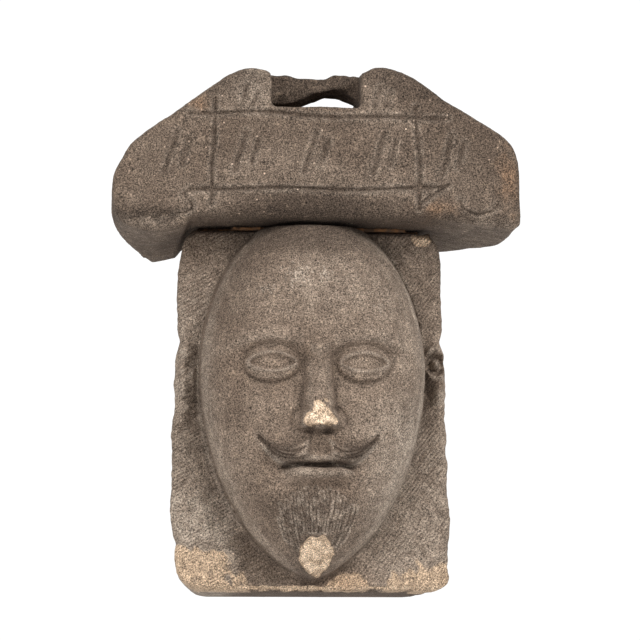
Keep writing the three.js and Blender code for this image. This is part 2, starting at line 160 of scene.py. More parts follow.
def ripple(x, z, size, seed):
    """Smooth noise between about -1 and 1 whose bumps are about size across, from a few waves."""
    random = np.random.default_rng(seed)
    total = 0.0
    waves = 7
    for _ in range(waves):
        angle, phase = random.uniform(0, 2 * np.pi, 2)
        pitch = size * random.uniform(1.3, 2.8)
        total = total + np.sin(2 * np.pi * (x * np.cos(angle) + z * np.sin(angle)) / pitch + phase)
    return total / np.sqrt(waves)


# %% [markdown]
# ## The carved head
# A relief is a height over a flat field, so the head is written as a height in millimetres
# above the block's front plane, for any place x, z on it. Each feature is its own short
# function, and the head is their sum over one egg-shaped form. A sculptor works in the same
# order: the big form, then the sockets and the nose, then lids, lips and hair.

# %% The head's own form
def taper_at(z):
    """The power that shapes the head's outline: round above the eyes, tapering below them."""
    return mix(JAW_TAPER, CROWN_TAPER, smooth((z - EYE_LINE) / TAPER_BLEND + 0.5))


def head_reach(x, z):
    """0 at the middle of the head, 1 on its outline."""
    across = np.abs(x) / (HEAD_WIDTH / 2)
    height = np.where(z > EYE_LINE, CROWN - EYE_LINE, EYE_LINE - BEARD_TIP)
    return across ** taper_at(z) + ((z - EYE_LINE) / height) ** 2


def head_form(x, z):
    bow = 1 - HEAD_BOW * ((z - EYE_LINE + THIRD / 3) / (HEAD_HEIGHT / 2)) ** 2
    edge = mix(0.5, CROWN_SOFTNESS, smooth((z - BROW + THIRD / 4) / 70))
    return HEAD_RELIEF * bow * (1 - clamp01(head_reach(x, z)) ** HEAD_BULGE) ** edge


FACE_PLANES = (
    {"name": "temple", "out": 76, "z": BROW + 22, "wide": 16, "high": 26, "lift": -4},
    {"name": "cheekbone", "out": 54, "z": NOSE_BASE + 22, "wide": 17, "high": 15, "lift": 3.5},
    {"name": "cheek", "out": 52, "z": MOUTH + 4, "wide": 17, "high": 20, "lift": -3},
    {"name": "boss of the chin", "out": 0, "z": CHIN + 6, "wide": 24, "high": 15, "lift": 3},
)


def planes_of_face(x, z):
    """Low hills and hollows on both sides of the middle line, kept slight."""
    side = np.abs(x)
    total = 0.0
    for plane in FACE_PLANES:
        spread = hill(side - plane["out"], plane["wide"]) * hill(z - plane["z"], plane["high"])
        total = total + plane["lift"] * spread
    return total


# %% The eyes
SOCKET_DEPTH = 11
BALL_RISE = 9
BALL_HALF = 0.6 * EYE_WIDTH
BALL_HIGH = 0.4 * EYE_WIDTH
LID_RIM = 2.6
LID_THICK = 1.5
LID_FOLD = 1.3
LID_FOLD_ABOVE = 4.8
OPENING_DEPTH = 2.4
BROW_RISE = 3.6


def eye_form(x, z):
    """A socket under the brow, a plain round eyeball, and a raised rim above and below it."""
    u = np.abs(x) - EYE_WIDTH
    v = z - EYE_LINE
    arch = 0.56 * EYE_WIDTH - 8 * ((u - 3) / EYE_WIDTH) ** 2
    fade = hill(u, 0.9 * EYE_WIDTH) * hill(np.minimum(v, 0), 0.8 * EYE_WIDTH)
    socket = -SOCKET_DEPTH * smooth((arch - v) / 13) * fade
    ball = BALL_RISE * np.sqrt(np.maximum(0, 1 - (u / BALL_HALF) ** 2 - (v / BALL_HIGH) ** 2))
    trough = -0.9 * hill(np.hypot(u / (0.66 * EYE_WIDTH), v / (0.43 * EYE_WIDTH)) - 1, 0.13)
    across = clamp01(1 - (u / (0.5 * EYE_WIDTH)) ** 2)
    upper = v - 0.2 * EYE_WIDTH * across ** 0.75
    lower = v + 0.15 * EYE_WIDTH * across ** 0.9
    near = smooth((0.58 * EYE_WIDTH - np.abs(u)) / 4)
    opening = smooth(-upper / 1.2) * smooth(lower / 1.2) * near
    rims = LID_RIM * (hill(upper - LID_THICK, LID_THICK) + 0.8 * hill(lower + LID_THICK, LID_THICK))
    fold = -LID_FOLD * hill(upper - LID_FOLD_ABOVE, 1.2)
    return socket + ball + trough + near * (rims + fold) - OPENING_DEPTH * opening


def brow_form(x, z):
    side = np.abs(x)
    arch = BROW + 4 - 7 * ((side - 38) / 34) ** 2
    return BROW_RISE * hill(z - arch, 8) * smooth((side - 3) / 12) * smooth((80 - side) / 26)


# %% The nose, with its broken tip
NOSE_RELIEF = 26
NOSE_ROOT = 5
NOSE_BREAK = 8
WING_RISE = 10
NOSTRIL_DEPTH = 9
NOSTRIL_OUT = 7.5


def whole_nose(x, z):
    down = clamp01((BROW - z) / (BROW - NOSE_BASE))
    side = np.abs(x)
    half = mix(0.25, 0.44, down ** 1.3) * EYE_WIDTH
    ridge = np.maximum(0, 1 - (side / half) ** 2.2) ** 0.8
    root = smooth((BROW + 8 - z) / 18)
    wing = WING_RISE * hill(side - 0.36 * EYE_WIDTH, 6) * hill(z - NOSE_BASE - 8.5, 8)
    height = mix(NOSE_ROOT, NOSE_RELIEF, down ** 1.1)
    return (height * ridge * root + wing) * smooth((z - NOSE_BASE) / 7)


def nose_break_face(x, z):
    """The rough plane that the tip broke off along."""
    return NOSE_RELIEF - NOSE_BREAK + 1.2 * ripple(x, z, 4, 11) + 0.1 * (z - NOSE_BASE)


def nose_form(x, z):
    side = np.abs(x)
    crease = -2.4 * hill(np.hypot((side - 14) / 9, (z - NOSE_BASE - 9) / 11) - 1, 0.17) * (side > 9)
    nostril = -NOSTRIL_DEPTH * hill(side - NOSTRIL_OUT, 3.6) * hill(z - NOSE_BASE - 3.5, 3.4)
    broken = np.minimum(whole_nose(x, z), nose_break_face(x, z))
    return broken + crease * smooth((z - NOSE_BASE) / 8) + nostril


# %% The mouth
MOUTH_HALF = 0.86 * EYE_WIDTH
UPPER_LIP = 5.2
LOWER_LIP = 6.2
SLIT_DEPTH = 13


def mouth_form(x, z):
    half = MOUTH_HALF
    side = np.abs(x)
    v = z - MOUTH - 1.5 * hill(side - 0.5 * half, 9) + 2.0 * (side / half) ** 2
    inside = smooth((half - side) / 20)
    upper_lip = UPPER_LIP * hill(v - 5.5, 4.2) * (1 - 0.25 * hill(x, 4))
    lower_lip = LOWER_LIP * hill(v + 7.5, 5.4)
    slit = SLIT_DEPTH * hill(v, 2.1) * smooth((half - side) / 9)
    under = 4 * hill(v + 20, 7)
    corner = -2.5 * hill(side - half, 5) * hill(v, 5)
    philtrum = -2.0 * hill(x, 3.6) * hill(z - mix(NOSE_BASE, MOUTH, 0.45), 8)
    return inside * (upper_lip + lower_lip - under) - slit + corner + philtrum


# %% [markdown]
# ### Moustache and beard
# The moustache is two separate halves with bare lip between them, each sweeping down and out
# and curling up at its tip. The beard is a pointed tuft. Both start as soft mounds here. Their
# strands are cut afterwards with the same groove tool that cuts the cap's lines.

# %% Moustache and beard mounds
MOUSTACHE_START = 5.0
MOUSTACHE_REACH = 1.2 * EYE_WIDTH
MOUSTACHE_SAG = 10
MOUSTACHE_CURL = 6
MOUSTACHE_THICK = 8.5
MOUSTACHE_RISE = 7.5
BEARD_START = MOUTH - 15
BEARD_RISE = 5


def moustache_middle(along):
    sag = MOUSTACHE_SAG * np.sin(np.pi * along ** 0.8)
    return mix(NOSE_BASE, MOUTH, 0.35) - sag + MOUSTACHE_CURL * along ** 4


def moustache_half(along):
    return MOUSTACHE_THICK * (1 - along ** 2) ** 0.6 + 0.8


def moustache_form(x, z):
    along = (np.abs(x) - MOUSTACHE_START) / MOUSTACHE_REACH
    within = (along > 0) & (along < 1)
    along = clamp01(along)
    mound = np.maximum(0, 1 - ((z - moustache_middle(along)) / moustache_half(along)) ** 2)
    ends = smooth(along * 7) * smooth((1 - along) * 2.8) ** 0.7
    return np.where(within, MOUSTACHE_RISE * ends * mound ** 0.6, 0)


def beard_form(x, z):
    down = clamp01((BEARD_START - z) / (BEARD_START - BEARD_TIP))
    half = 0.34 * HEAD_WIDTH * np.sqrt(np.maximum(0.02, 1 - down)) * smooth(down * 7 + 0.25)
    mound = BEARD_RISE * np.maximum(0, 1 - (x / half) ** 2) * smooth(down * 5)
    return np.where(z < BEARD_START, mound, 0)


def chin_break(x, z):
    """The hollow where the beard's tip broke away."""
    return BEARD_RISE * hill(x, 15) * hill(z - BEARD_TIP - 15, 12)


# %% [markdown]
# ### Ears and the field
# Only a little stone is left beside the cheeks. On one side it still shows a curled rim with a
# lobe under it, and on the other it is worn down to lumps. The field round the head is sunk,
# and the mason's strokes slant across it.

# %% Ears and field
EAR_HALF_WIDTH = 10
EAR_HALF_HEIGHT = 26
STEEP_STROKES = math.radians(52)
SHALLOW_STROKES = math.radians(28)
STROKE_WIDTH = 5.6
STROKE_DEPTH = 0.7
STEP_RISE = 1.3


def block_half_width(z):
    return mix(BLOCK_WIDTH_FOOT, BLOCK_WIDTH_TOP, (z - BLOCK_FOOT) / BLOCK_HEIGHT) / 2


def ear_form(x, z):
    middle = (HEAD_WIDTH / 2 + block_half_width(z)) / 2
    u = (np.abs(x) - middle) / EAR_HALF_WIDTH
    level = (BROW + NOSE_BASE) / 2 + EAR_LIFT
    v = (z - level) / EAR_HALF_HEIGHT
    boss = 15 * hill(np.hypot(u, v), 0.85) - 6 * hill(np.hypot(u, v), 0.4)
    curl = np.hypot(u / 1.05, (z - level - 13) / 15)
    ring = 5.5 * hill(curl - 0.8, 0.2) - 5.5 * hill(curl - 0.42, 0.2) + 4 * hill(curl, 0.2)
    lobe = 4 * hill(u - 0.2, 0.4) * hill(z - level + 14, 8)
    lobe = lobe - 6 * hill(u + 0.5, 0.4) * hill(z - level + 10, 7)
    lumps = 3.2 * ripple(x, z, 9, 5) * hill(np.hypot(u, v), 1.0)
    return boss + np.where(x > 0, ring + lobe, lumps)


def across_strokes(x, z):
    """How far a place lies across the chisel strokes, which are steeper at +X."""
    slope = np.where(x > 0, STEEP_STROKES, SHALLOW_STROKES)
    return x * np.sin(slope) - z * np.cos(slope)


def tooling(x, z):
    """Broad chisel strokes that slant across the field."""
    bend = 1.8 * ripple(x, z, 18, 21)
    stroke = np.sin(2 * np.pi * across_strokes(x, z) / STROKE_WIDTH + bend)
    return STROKE_DEPTH * stroke * smooth(0.6 + ripple(x, z, 24, 22))


def field_form(x, z):
    reach = head_reach(x, z)
    beside = smooth((reach - 0.98) / 0.06)
    low = smooth((78 - z) / 60)
    hollow = -FIELD_SINKING * low * hill(np.maximum(0, reach - 1), 0.22) * beside
    return hollow + tooling(x, z) * beside


def temple_step(x, z):
    """Two shallow steps that follow the hair's edge round the temple at +X."""
    reach = np.hypot((x + 6) / 92, (z - 30) / 122)
    band = smooth((x - 34) / 20) * smooth((z - 12) / 30)
    steps = smooth((reach - 0.80) / 0.012) + smooth((reach - 0.93) / 0.012) - 1
    return STEP_RISE * band * steps


def relief(block_x, z):
    """The carving's height above the block's front plane."""
    x = block_x - HEAD_OFFSET
    reach = head_reach(x, z)
    edge = smooth((1 - reach) / 0.25)
    rim = smooth((1 - reach) / 0.12)
    features = (
        planes_of_face(x, z) + eye_form(x, z) + brow_form(x, z) + nose_form(x, z) + mouth_form(x, z)
        + moustache_form(x, z) + beard_form(x, z) - chin_break(x, z)
    )
    head = np.maximum(head_form(x, z) + edge * features + rim * temple_step(x, z), 0)
    return np.where(reach < 1, head + (1 - edge) * ear_form(x, z), field_form(x, z) + ear_form(x, z))


# %% [markdown]
# ## The block as one net
# A plain grid would leave a jagged line where the head meets the field. The net's rows start on
# the head's middle line, cross its outline and end on the block's edge, so a line of vertices
# always runs along the outline. Below the mouth the rows fan out round the chin.

# %% Rows and columns of the front
FOREHEAD_ROWS = 56
FACE_ROWS = 150
CHIN_ROWS = 76
HEAD_COLUMNS = 88
FIELD_COLUMNS = 36
LEVEL_ROWS = FOREHEAD_ROWS + FACE_ROWS
ROWS = LEVEL_ROWS + CHIN_ROWS
COLUMNS = HEAD_COLUMNS + FIELD_COLUMNS


def outline_angle(z):
    reach = CROWN - EYE_LINE if z > EYE_LINE else EYE_LINE - BEARD_TIP
    return math.asin((z - EYE_LINE) / reach)


def row_angle(row):
    face_top = BROW + BLOCK_ARRIS
    if row <= FOREHEAD_ROWS:
        return outline_angle(mix(BLOCK_TOP, face_top, row / FOREHEAD_ROWS))
    if row <= LEVEL_ROWS:
        return outline_angle(mix(face_top, FAN_TOP, (row - FOREHEAD_ROWS) / FACE_ROWS))
    return mix(outline_angle(FAN_TOP), -math.pi / 2, (row - LEVEL_ROWS) / CHIN_ROWS)


def outline_point(row):
    angle = row_angle(row)
    reach = CROWN - EYE_LINE if angle > 0 else EYE_LINE - BEARD_TIP
    z = EYE_LINE + reach * math.sin(angle)
    return HEAD_WIDTH / 2 * max(0.0, math.cos(angle)) ** (2 / taper_at(z)), z


def spine_height(row):
    z = outline_point(row)[1]
    focus = mix(FAN_TOP, BEARD_TIP, 0.55)
    slack = FAN_TOP - focus
    return z if z > FAN_TOP else focus + slack * math.exp((z - FAN_TOP) / slack)


def inset_from_edge(x, z):
    """How far a place of the front lies inside the block's outline with its rounded corners."""
    to_side = block_half_width(z) - np.abs(x)
    to_end = BLOCK_TOP - np.abs(z)
    in_corner = (to_side < BLOCK_CORNER) & (to_end < BLOCK_CORNER)
    round_inset = BLOCK_CORNER - np.hypot(BLOCK_CORNER - to_side, BLOCK_CORNER - to_end)
    return np.where(in_corner, round_inset, np.minimum(to_side, to_end))


def edge_point(row):
    level = BLOCK_TOP - outline_point(min(row, LEVEL_ROWS))[1]
    rest = BLOCK_HEIGHT + BLOCK_WIDTH_FOOT / 2 - level
    run = level + rest * max(0.0, (row - LEVEL_ROWS) / CHIN_ROWS)
    z = max(BLOCK_FOOT, BLOCK_TOP - run)
    x = block_half_width(z) if z > BLOCK_FOOT else BLOCK_WIDTH_FOOT / 2 + BLOCK_HEIGHT - run
    if inset_from_edge(x, z) >= 0:
        return x, z
    corner = Vector((block_half_width(z) - BLOCK_CORNER, math.copysign(BLOCK_TOP - BLOCK_CORNER, z)))
    out = (Vector((x, z)) - corner).normalized() * BLOCK_CORNER
    return corner.x + out.x, corner.y + out.y


# %% Bites out of the block's side edges
EDGE_BITES = (
    {"name": "top of the left side", "side": -1, "z": 150, "reach": 20, "deep": 3.0},
    {"name": "top left corner", "side": -1, "z": 158, "reach": 9, "deep": 12.0},
    {"name": "over the left ear", "side": -1, "z": 57, "reach": 7, "deep": 3.5},
    {"name": "low on the left side", "side": -1, "z": -114, "reach": 5, "deep": 2.0},
    {"name": "left foot", "side": -1, "z": -160, "reach": 40, "deep": 9.0},
    {"name": "left foot corner", "side": -1, "z": -158, "reach": 10, "deep": 5.0},
    {"name": "top right corner", "side": 1, "z": 158, "reach": 11, "deep": 7.0},
    {"name": "over the right ear", "side": 1, "z": 60, "reach": 6, "deep": 3.0},
    {"name": "beside the right cheek", "side": 1, "z": -34, "reach": 8, "deep": 2.6},
    {"name": "right foot corner", "side": 1, "z": -158, "reach": 8, "deep": 3.0},
)
SIDE_SWELL = {-1: 0.0, 1: 2.0}
FOOT_CHIP = 2.2
FOOT_CORNER_LIFT = 5


def bite(side, z):
    """How far the worn edge lies inside the straight one, in millimetres."""
    total = 0.9 * ripple(z, 0.6 * z, 24, 12 + side) + 0.3 * ripple(z, 0.8 * z, 7, 15 + side)
    total = total - SIDE_SWELL[side]
    for place in EDGE_BITES:
        if place["side"] == side:
            total = total + place["deep"] * hill(z - place["z"], place["reach"])
    return total


def bitten(x, z):
    """Draws the front's sides in by the bites, and leaves the head where it is."""
    for side in (-1, 1):
        share = clamp01((side * x - HEAD_WIDTH / 2 - 2) / (block_half_width(z) - HEAD_WIDTH / 2 - 2))
        x = x - side * bite(side, z) * share
    return x


def corner_lift(x, z):
    """How far the worn left corner of the foot lies above the foot."""
    return FOOT_CORNER_LIFT * smooth((-x - 86) / 30) * smooth((BLOCK_FOOT + 22 - z) / 22)


def chipped(x, z):
    """Lifts the foot of the front by small chips along its arris."""
    chips = FOOT_CHIP * clamp01(0.25 + 0.7 * ripple(x, 0 * x, 13, 17) + 0.4 * ripple(x, 0 * x, 5, 18))
    return z + chips * smooth((BLOCK_FOOT + 12 - z) / 12) + corner_lift(x, z)


# %% Places of the front's vertices
def front_net():
    """x and z of every vertex of the front, one row of the array for each row of the net."""
    x = np.zeros((ROWS + 1, 2 * COLUMNS + 1))
    z = np.zeros_like(x)
    out = np.abs(np.arange(-COLUMNS, COLUMNS + 1))
    side = np.sign(np.arange(-COLUMNS, COLUMNS + 1))
    t = np.minimum(out / HEAD_COLUMNS, 1)
    near = mix(t, np.sin(t * np.pi / 2), 0.35)
    far = np.maximum(0, (out - HEAD_COLUMNS) / FIELD_COLUMNS)
    for row in range(ROWS + 1):
        outline = outline_point(row)
        edge = edge_point(row)
        x[row] = side * (near * outline[0] + far * (edge[0] - outline[0])) + HEAD_OFFSET * (1 - far)
        z[row] = mix(spine_height(row), outline[1], near) + far * (edge[1] - outline[1])
    z[0] = BLOCK_TOP
    return x, z


def rounding(x, z):
    """How far the rounded arris lies behind the block's front plane."""
    t = clamp01(inset_from_edge(x, z) / BLOCK_ARRIS)
    under_cap = (z > 0) & (head_reach(x - HEAD_OFFSET, z) < 1)
    return np.where(under_cap, 0, BLOCK_ARRIS * (1 - np.sqrt(1 - (1 - t) ** 2)))


net_x, net_z = front_net()
print("front net", net_x.shape)


# %% [markdown]
# ## Broken and stained places
# Fresh breaks show the stone's pale inside: the nose, the beard's tip, both lower corners, two
# small places more and a thin line along the foot. Most are an ellipse on the front, and noise
# makes the edge ragged. Scuffs are small places where the dark skin is only rubbed pale.
# The same values are kept on the vertices as attributes, because both the wear that roughens
# the surface and the material that colours it need them.

# %% Where the pale breaks and the scuffs are
PALE_BREAKS = (
    {"name": "left corner", "x": -124, "z": -164, "wide": 78, "high": 54, "clean": 0.62},
    {"name": "right corner", "x": 124, "z": -164, "wide": 68, "high": 38, "clean": 0.58},
    {"name": "beside the beard", "x": 33, "z": -151, "wide": 19, "high": 13, "clean": 0.62},
    {"name": "beard tip", "x": 3, "z": -125, "wide": 15, "high": 16, "clean": 1.0},
    {"name": "top right corner", "x": 97, "z": 148, "wide": 9, "high": 7, "clean": 0.8},
)
FOOT_LINE = 2.6
SCUFFS = (
    {"name": "left of the forehead's middle", "x": -14, "z": 106, "wide": 10, "high": 8},
    {"name": "right of the forehead's middle", "x": 8, "z": 107, "wide": 5, "high": 5},
    {"name": "far left of the forehead", "x": -42, "z": 95, "wide": 6, "high": 3},
    {"name": "over the right temple", "x": 54, "z": 80, "wide": 5, "high": 4},
)


def in_break(place, x, z):
    """Above 0 inside the ellipse, 1 at its middle."""
    return 1 - np.hypot((x - place["x"]) / place["wide"], (z - place["z"]) / place["high"])


def fresh_amount(x, y, z):
    ragged = 0.05 * ripple(x, z, 15, 31) + 0.025 * ripple(x, z, 5, 32)
    on_side = 55 * smooth((np.abs(x) - 84) / 10) * smooth((BLOCK_FOOT + 50 - z) / 46)
    on_front = smooth((-y - BLOCK_DEPTH + 24 + on_side + 8 * ripple(y, z, 14, 34)) / 12)
    amount = np.zeros_like(x)
    for place in PALE_BREAKS:
        inside = smooth((in_break(place, x, z) + 1.6 * ragged + 0.05) / 0.16)
        amount = np.maximum(amount, place["clean"] * inside)
    foot = 1 - np.abs(z - BLOCK_FOOT - 3) / FOOT_LINE + 5 * ragged
    foot = np.where(x > -80, 0.8 * smooth(foot / 0.6), 0)
    nose_x = x - HEAD_OFFSET
    nose = smooth((whole_nose(nose_x, z) - nose_break_face(nose_x, z) + 2.5) / 1.5)
    nose = nose * (np.abs(nose_x) < 0.5 * EYE_WIDTH) * (y < -BLOCK_DEPTH - 0.5 * HEAD_RELIEF)
    return np.maximum(np.maximum(amount, foot) * on_front, nose)


# %% [markdown]
# ## Meshes from numbers
# A mesh is a list of places and a list of faces. The places are kept in millimetres while they
# are worked on, and turned to metres as the mesh is made.

# %% Mesh helpers
PAINTED_VALUES = ("dirt", "light", "ochre", "fresh", "cut", "lip", "calm", "hatch", "across")


def new_mesh_object(name, places_mm, faces):
    mesh = bpy.data.meshes.new(name)
    mesh.from_pydata([tuple(p) for p in np.asarray(places_mm) * MM], [], faces)
    mesh.validate()
    piece = bpy.data.objects.new(name, mesh)
    bpy.context.scene.collection.objects.link(piece)
    return piece


def places_of(piece):
    """The places of a piece's vertices in millimetres, as three arrays."""
    flat = np.zeros(len(piece.data.vertices) * 3)
    piece.data.vertices.foreach_get("co", flat)
    return (flat.reshape(-1, 3) / MM).T


def set_places(piece, x, y, z):
    piece.data.vertices.foreach_set("co", (np.stack([x, y, z], 1) * MM).ravel())
    piece.data.update()


def set_attribute(piece, name, values):
    kept = piece.data.attributes.get(name) or piece.data.attributes.new(name, "FLOAT", "POINT")
    kept.data.foreach_set("value", np.asarray(values, np.float32))


def paint(piece, values):
    """Stores each value that the material reads. One that isn't given is 0 all over."""
    for name in PAINTED_VALUES:
        set_attribute(piece, name, values.get(name, np.zeros(len(piece.data.vertices))))


def shade(piece):
    """Smooth shading everywhere but on the flat faces at the back, where the stone was cut off."""
    for face in piece.data.polygons:
        face.use_smooth = face.center.y <= -0.2 * MM


# %% The block's net as a mesh
STRIP_STEPS = 26
STRIP_CROWDING = 1.5
CHIP_STRIPS = 12


def front_faces(index):
    """The faces between the rows. Where the rows meet, a doubled corner is dropped."""
    faces = []
    for row in range(ROWS):
        for column in range(2 * COLUMNS):
            upper = index[row, column:column + 2]
            lower = index[row + 1, column:column + 2]
            corners = (upper[0], upper[1], lower[1], lower[0])
            faces.append(tuple(dict.fromkeys(int(c) for c in corners)))
    return faces


def side_rings(rim_places, rim_x, rim_z):
    """Copies of the front's rim on their way to the wall, where the rim is straight again but
    for the worn foot, and drawn in by the draft."""
    x, y, z = rim_places.T
    worn_foot = smooth(-rim_x / 10) * smooth((BLOCK_FOOT + 70 - rim_z) / 30)
    back_x = mix(rim_x, x, worn_foot) * (1 - BLOCK_DRAFT / block_half_width(z))
    back_z = rim_z + corner_lift(rim_x, rim_z)
    rings = []
    for step in range(1, STRIP_STEPS + 1):
        behind = (step / STRIP_STEPS) ** STRIP_CROWDING
        ring_z = mix(z, back_z, smooth(CHIP_STRIPS * behind))
        rings.append(np.stack([mix(x, back_x, behind), y * (1 - behind), ring_z], 1))
    return rings


def faces_between(near, far):
    """A closed strip of faces between two rings of vertices."""
    faces = []
    for k in range(len(near)):
        after = (k + 1) % len(near)
        faces.append((int(near[k]), int(far[k]), int(far[after]), int(near[after])))
    return faces


def block_mesh():
    net_y = rounding(net_x, net_z) - BLOCK_DEPTH - relief(net_x, net_z)
    worn_x = bitten(net_x, net_z)
    worn_z = chipped(net_x, net_z)
    places = np.stack([worn_x.ravel(), net_y.ravel(), worn_z.ravel()], 1)

    index = np.arange(net_x.size).reshape(net_x.shape)
    index[ROWS, :COLUMNS] = index[ROWS, :COLUMNS:-1]
    faces = front_faces(index)

    rim = np.concatenate([index[0], index[1:, -1], index[ROWS - 1:0:-1, 0]])
    rings = side_rings(places[rim], net_x.ravel()[rim], net_z.ravel()[rim])
    near = rim
    for number in range(len(rings)):
        far = len(places) + number * len(rim) + np.arange(len(rim))
        faces += faces_between(near, far)
        near = far
    middle = len(places) + len(rings) * len(rim)
    faces += [(int(near[k]), middle, int(near[(k + 1) % len(rim)])) for k in range(len(rim))]
    return new_mesh_object("carved_block", np.concatenate([places, *rings, np.zeros((1, 3))]), faces)


def tidy_mesh(piece, merge_mm):
    """Merges doubled vertices, drops stray ones, and turns every face outwards."""
    work = bmesh.new()
    work.from_mesh(piece.data)
    bmesh.ops.remove_doubles(work, verts=work.verts, dist=merge_mm * MM)
    bmesh.ops.delete(work, geom=[v for v in work.verts if not v.link_faces], context="VERTS")
    bmesh.ops.dissolve_degenerate(work, edges=work.edges, dist=merge_mm * MM)
    bmesh.ops.recalc_face_normals(work, faces=work.faces)
    open_edges = sum(not e.is_manifold for e in work.edges)
    work.to_mesh(piece.data)
    work.free()
    return open_edges


carved_block = block_mesh()
print("block", len(carved_block.data.polygons), "faces, open edges", tidy_mesh(carved_block, 0.002))


# %% [markdown]
# ## Geometry Nodes tools
# Two tools do the fine work, and both are node trees, so that their sizes stay inputs that can
# be changed. The first cuts grooves: it measures each vertex's distance to a set of lines and
# sinks the vertex if a line is near, and it paints shade into the groove and a highlight along its
# edges. The second wears the stone with two sizes of noise.
# A tree is easier to read when each node is added by one short call, so that comes first.

# %% Helpers for node trees
def add_node(tree, kind, settings=None, inputs=None):
    """Adds a node. An input is given a value, or another node's output to be linked to."""
    node = tree.nodes.new(kind)
    for name, value in (settings or {}).items():
        setattr(node, name, value)
    for key, value in (inputs or {}).items():
        if isinstance(value, bpy.types.NodeSocket):
            tree.links.new(value, node.inputs[key])
        else:
            node.inputs[key].default_value = value
    return node


def maths(tree, operation, *values):
    """The output of a Math node: its family is the same in geometry and in shader trees."""
    node = add_node(tree, "ShaderNodeMath", {"operation": operation}, dict(enumerate(values)))
    return node.outputs[0]


def times(tree, first, second):
    return maths(tree, "MULTIPLY", first, second)


def plus(tree, first, second):
    return maths(tree, "ADD", first, second)


def map_smooth(tree, value, low, high, start=0.0, end=1.0):
    node = add_node(tree, "ShaderNodeMapRange", {"interpolation_type": "SMOOTHSTEP"}, {
        "Value": value, "From Min": low, "From Max": high, "To Min": start, "To Max": end,
    })
    return node.outputs["Result"]


def new_tool(name, sockets):
    """A geometry node tree with a Geometry input, the named inputs, and a Geometry output."""
    tree = bpy.data.node_groups.new(name, "GeometryNodeTree")
    tree.interface.new_socket("Geometry", in_out="INPUT", socket_type="NodeSocketGeometry")
    for label, kind in sockets.items():
        tree.interface.new_socket(label, in_out="INPUT", socket_type="NodeSocket" + kind)
    tree.interface.new_socket("Geometry", in_out="OUTPUT", socket_type="NodeSocketGeometry")
    return tree, tree.nodes.new("NodeGroupInput").outputs


def end_tool(tree, geometry, material):
    """Every tool ends by making its copies real and giving the piece its material."""
    real = add_node(tree, "GeometryNodeRealizeInstances", inputs={"Geometry": geometry})
    painted = add_node(tree, "GeometryNodeSetMaterial", inputs={
        "Geometry": real.outputs["Geometry"], "Material": material,
    })
    add_node(tree, "NodeGroupOutput", inputs={"Geometry": painted.outputs["Geometry"]})


def use_tool(piece, tree, values):
    """Adds the tree as a modifier. Each input is set by its socket's identifier."""
    modifier = piece.modifiers.new(tree.name, "NODES")
    modifier.node_group = tree
    for socket in tree.interface.items_tree:
        if socket.in_out == "INPUT" and socket.name in values:
            modifier[socket.identifier] = values[socket.name]
    return modifier


def apply_tools(piece):
    """Turns the evaluated piece into a plain mesh and takes its modifiers off."""
    evaluated = piece.evaluated_get(bpy.context.evaluated_depsgraph_get())
    finished = bpy.data.meshes.new_from_object(evaluated)
    old = piece.data
    piece.modifiers.clear()
    piece.data = finished
    finished.name = piece.name
    bpy.data.meshes.remove(old)


def push_along_normal(tree, geometry, amount):
    normal = add_node(tree, "GeometryNodeInputNormal")
    offset = add_node(tree, "ShaderNodeVectorMath", {"operation": "SCALE"}, {
        0: normal.outputs["Normal"], "Scale": amount,
    })
    moved = add_node(tree, "GeometryNodeSetPosition", inputs={
        "Geometry": geometry, "Offset": offset.outputs["Vector"],
    })
    return moved.outputs["Geometry"]


def named_value(tree, name):
    node = add_node(tree, "GeometryNodeInputNamedAttribute", {"data_type": "FLOAT"}, {"Name": name})
    return node.outputs["Attribute"]


def store_value(tree, geometry, name, value):
    node = add_node(tree, "GeometryNodeStoreNamedAttribute", {"data_type": "FLOAT", "domain": "POINT"}, {
        "Geometry": geometry, "Name": name, "Value": value,
    })
    return node.outputs["Geometry"]


def solid_noise(tree, size, seed, detail):
    """Noise between about -1 and 1 in the stone's own space, its bumps about size across."""
    place = add_node(tree, "GeometryNodeInputPosition")
    node = add_node(tree, "ShaderNodeTexNoise", {"noise_dimensions": "4D"}, {
        "Vector": place.outputs["Position"], "W": seed,
        "Scale": maths(tree, "DIVIDE", 1.0, size), "Detail": detail, "Roughness": 0.6,
    })
    return maths(tree, "MULTIPLY_ADD", node.outputs[0], 4.0, -2.0)


# %% The groove cutter
def groove_cutter():
    tree, given = new_tool("cut_grooves", {
        "Lines": "Object", "Groove Width": "Float", "Groove Depth": "Float",
        "Raggedness": "Float", "Dirt": "Float", "Lip": "Float", "Seed": "Float", "Stone": "Material",
    })
    lines = add_node(tree, "GeometryNodeObjectInfo", inputs={"Object": given["Lines"]})
    nearest = add_node(tree, "GeometryNodeProximity", {"target_element": "EDGES"}, {
        "Geometry": lines.outputs["Geometry"],
    })
    ragged = times(tree, given["Raggedness"], solid_noise(tree, 0.005, given["Seed"], 2.0))
    distance = plus(tree, nearest.outputs["Distance"], ragged)
    half = times(tree, given["Groove Width"], 0.5)
    nearness = map_smooth(tree, distance, 0.0, half, 1.0, 0.0)
    measured = store_value(tree, given["Geometry"], "groove", nearness)
    groove = named_value(tree, "groove")
    depth = times(tree, times(tree, groove, given["Groove Depth"]), -1.0)
    # A painted highlight along both edges of the groove.
    lip = map_smooth(tree, distance, half, times(tree, half, 2.2), given["Lip"], 0.0)
    lipped = store_value(tree, measured, "lip", maths(tree, "MAXIMUM", named_value(tree, "lip"), lip))
    sunk = push_along_normal(tree, lipped, depth)
    # Painted shade in the groove.
    groove_shade = times(tree, groove, given["Dirt"])
    kept = store_value(tree, sunk, "cut", maths(tree, "MAXIMUM", named_value(tree, "cut"), groove_shade))
    end_tool(tree, kept, given["Stone"])
    return tree


# %% The wear, which leaves the flat back as it is
PIT_SEED_STEP = 7.3
UNWORN_BACK = (-8 * MM, -1 * MM)


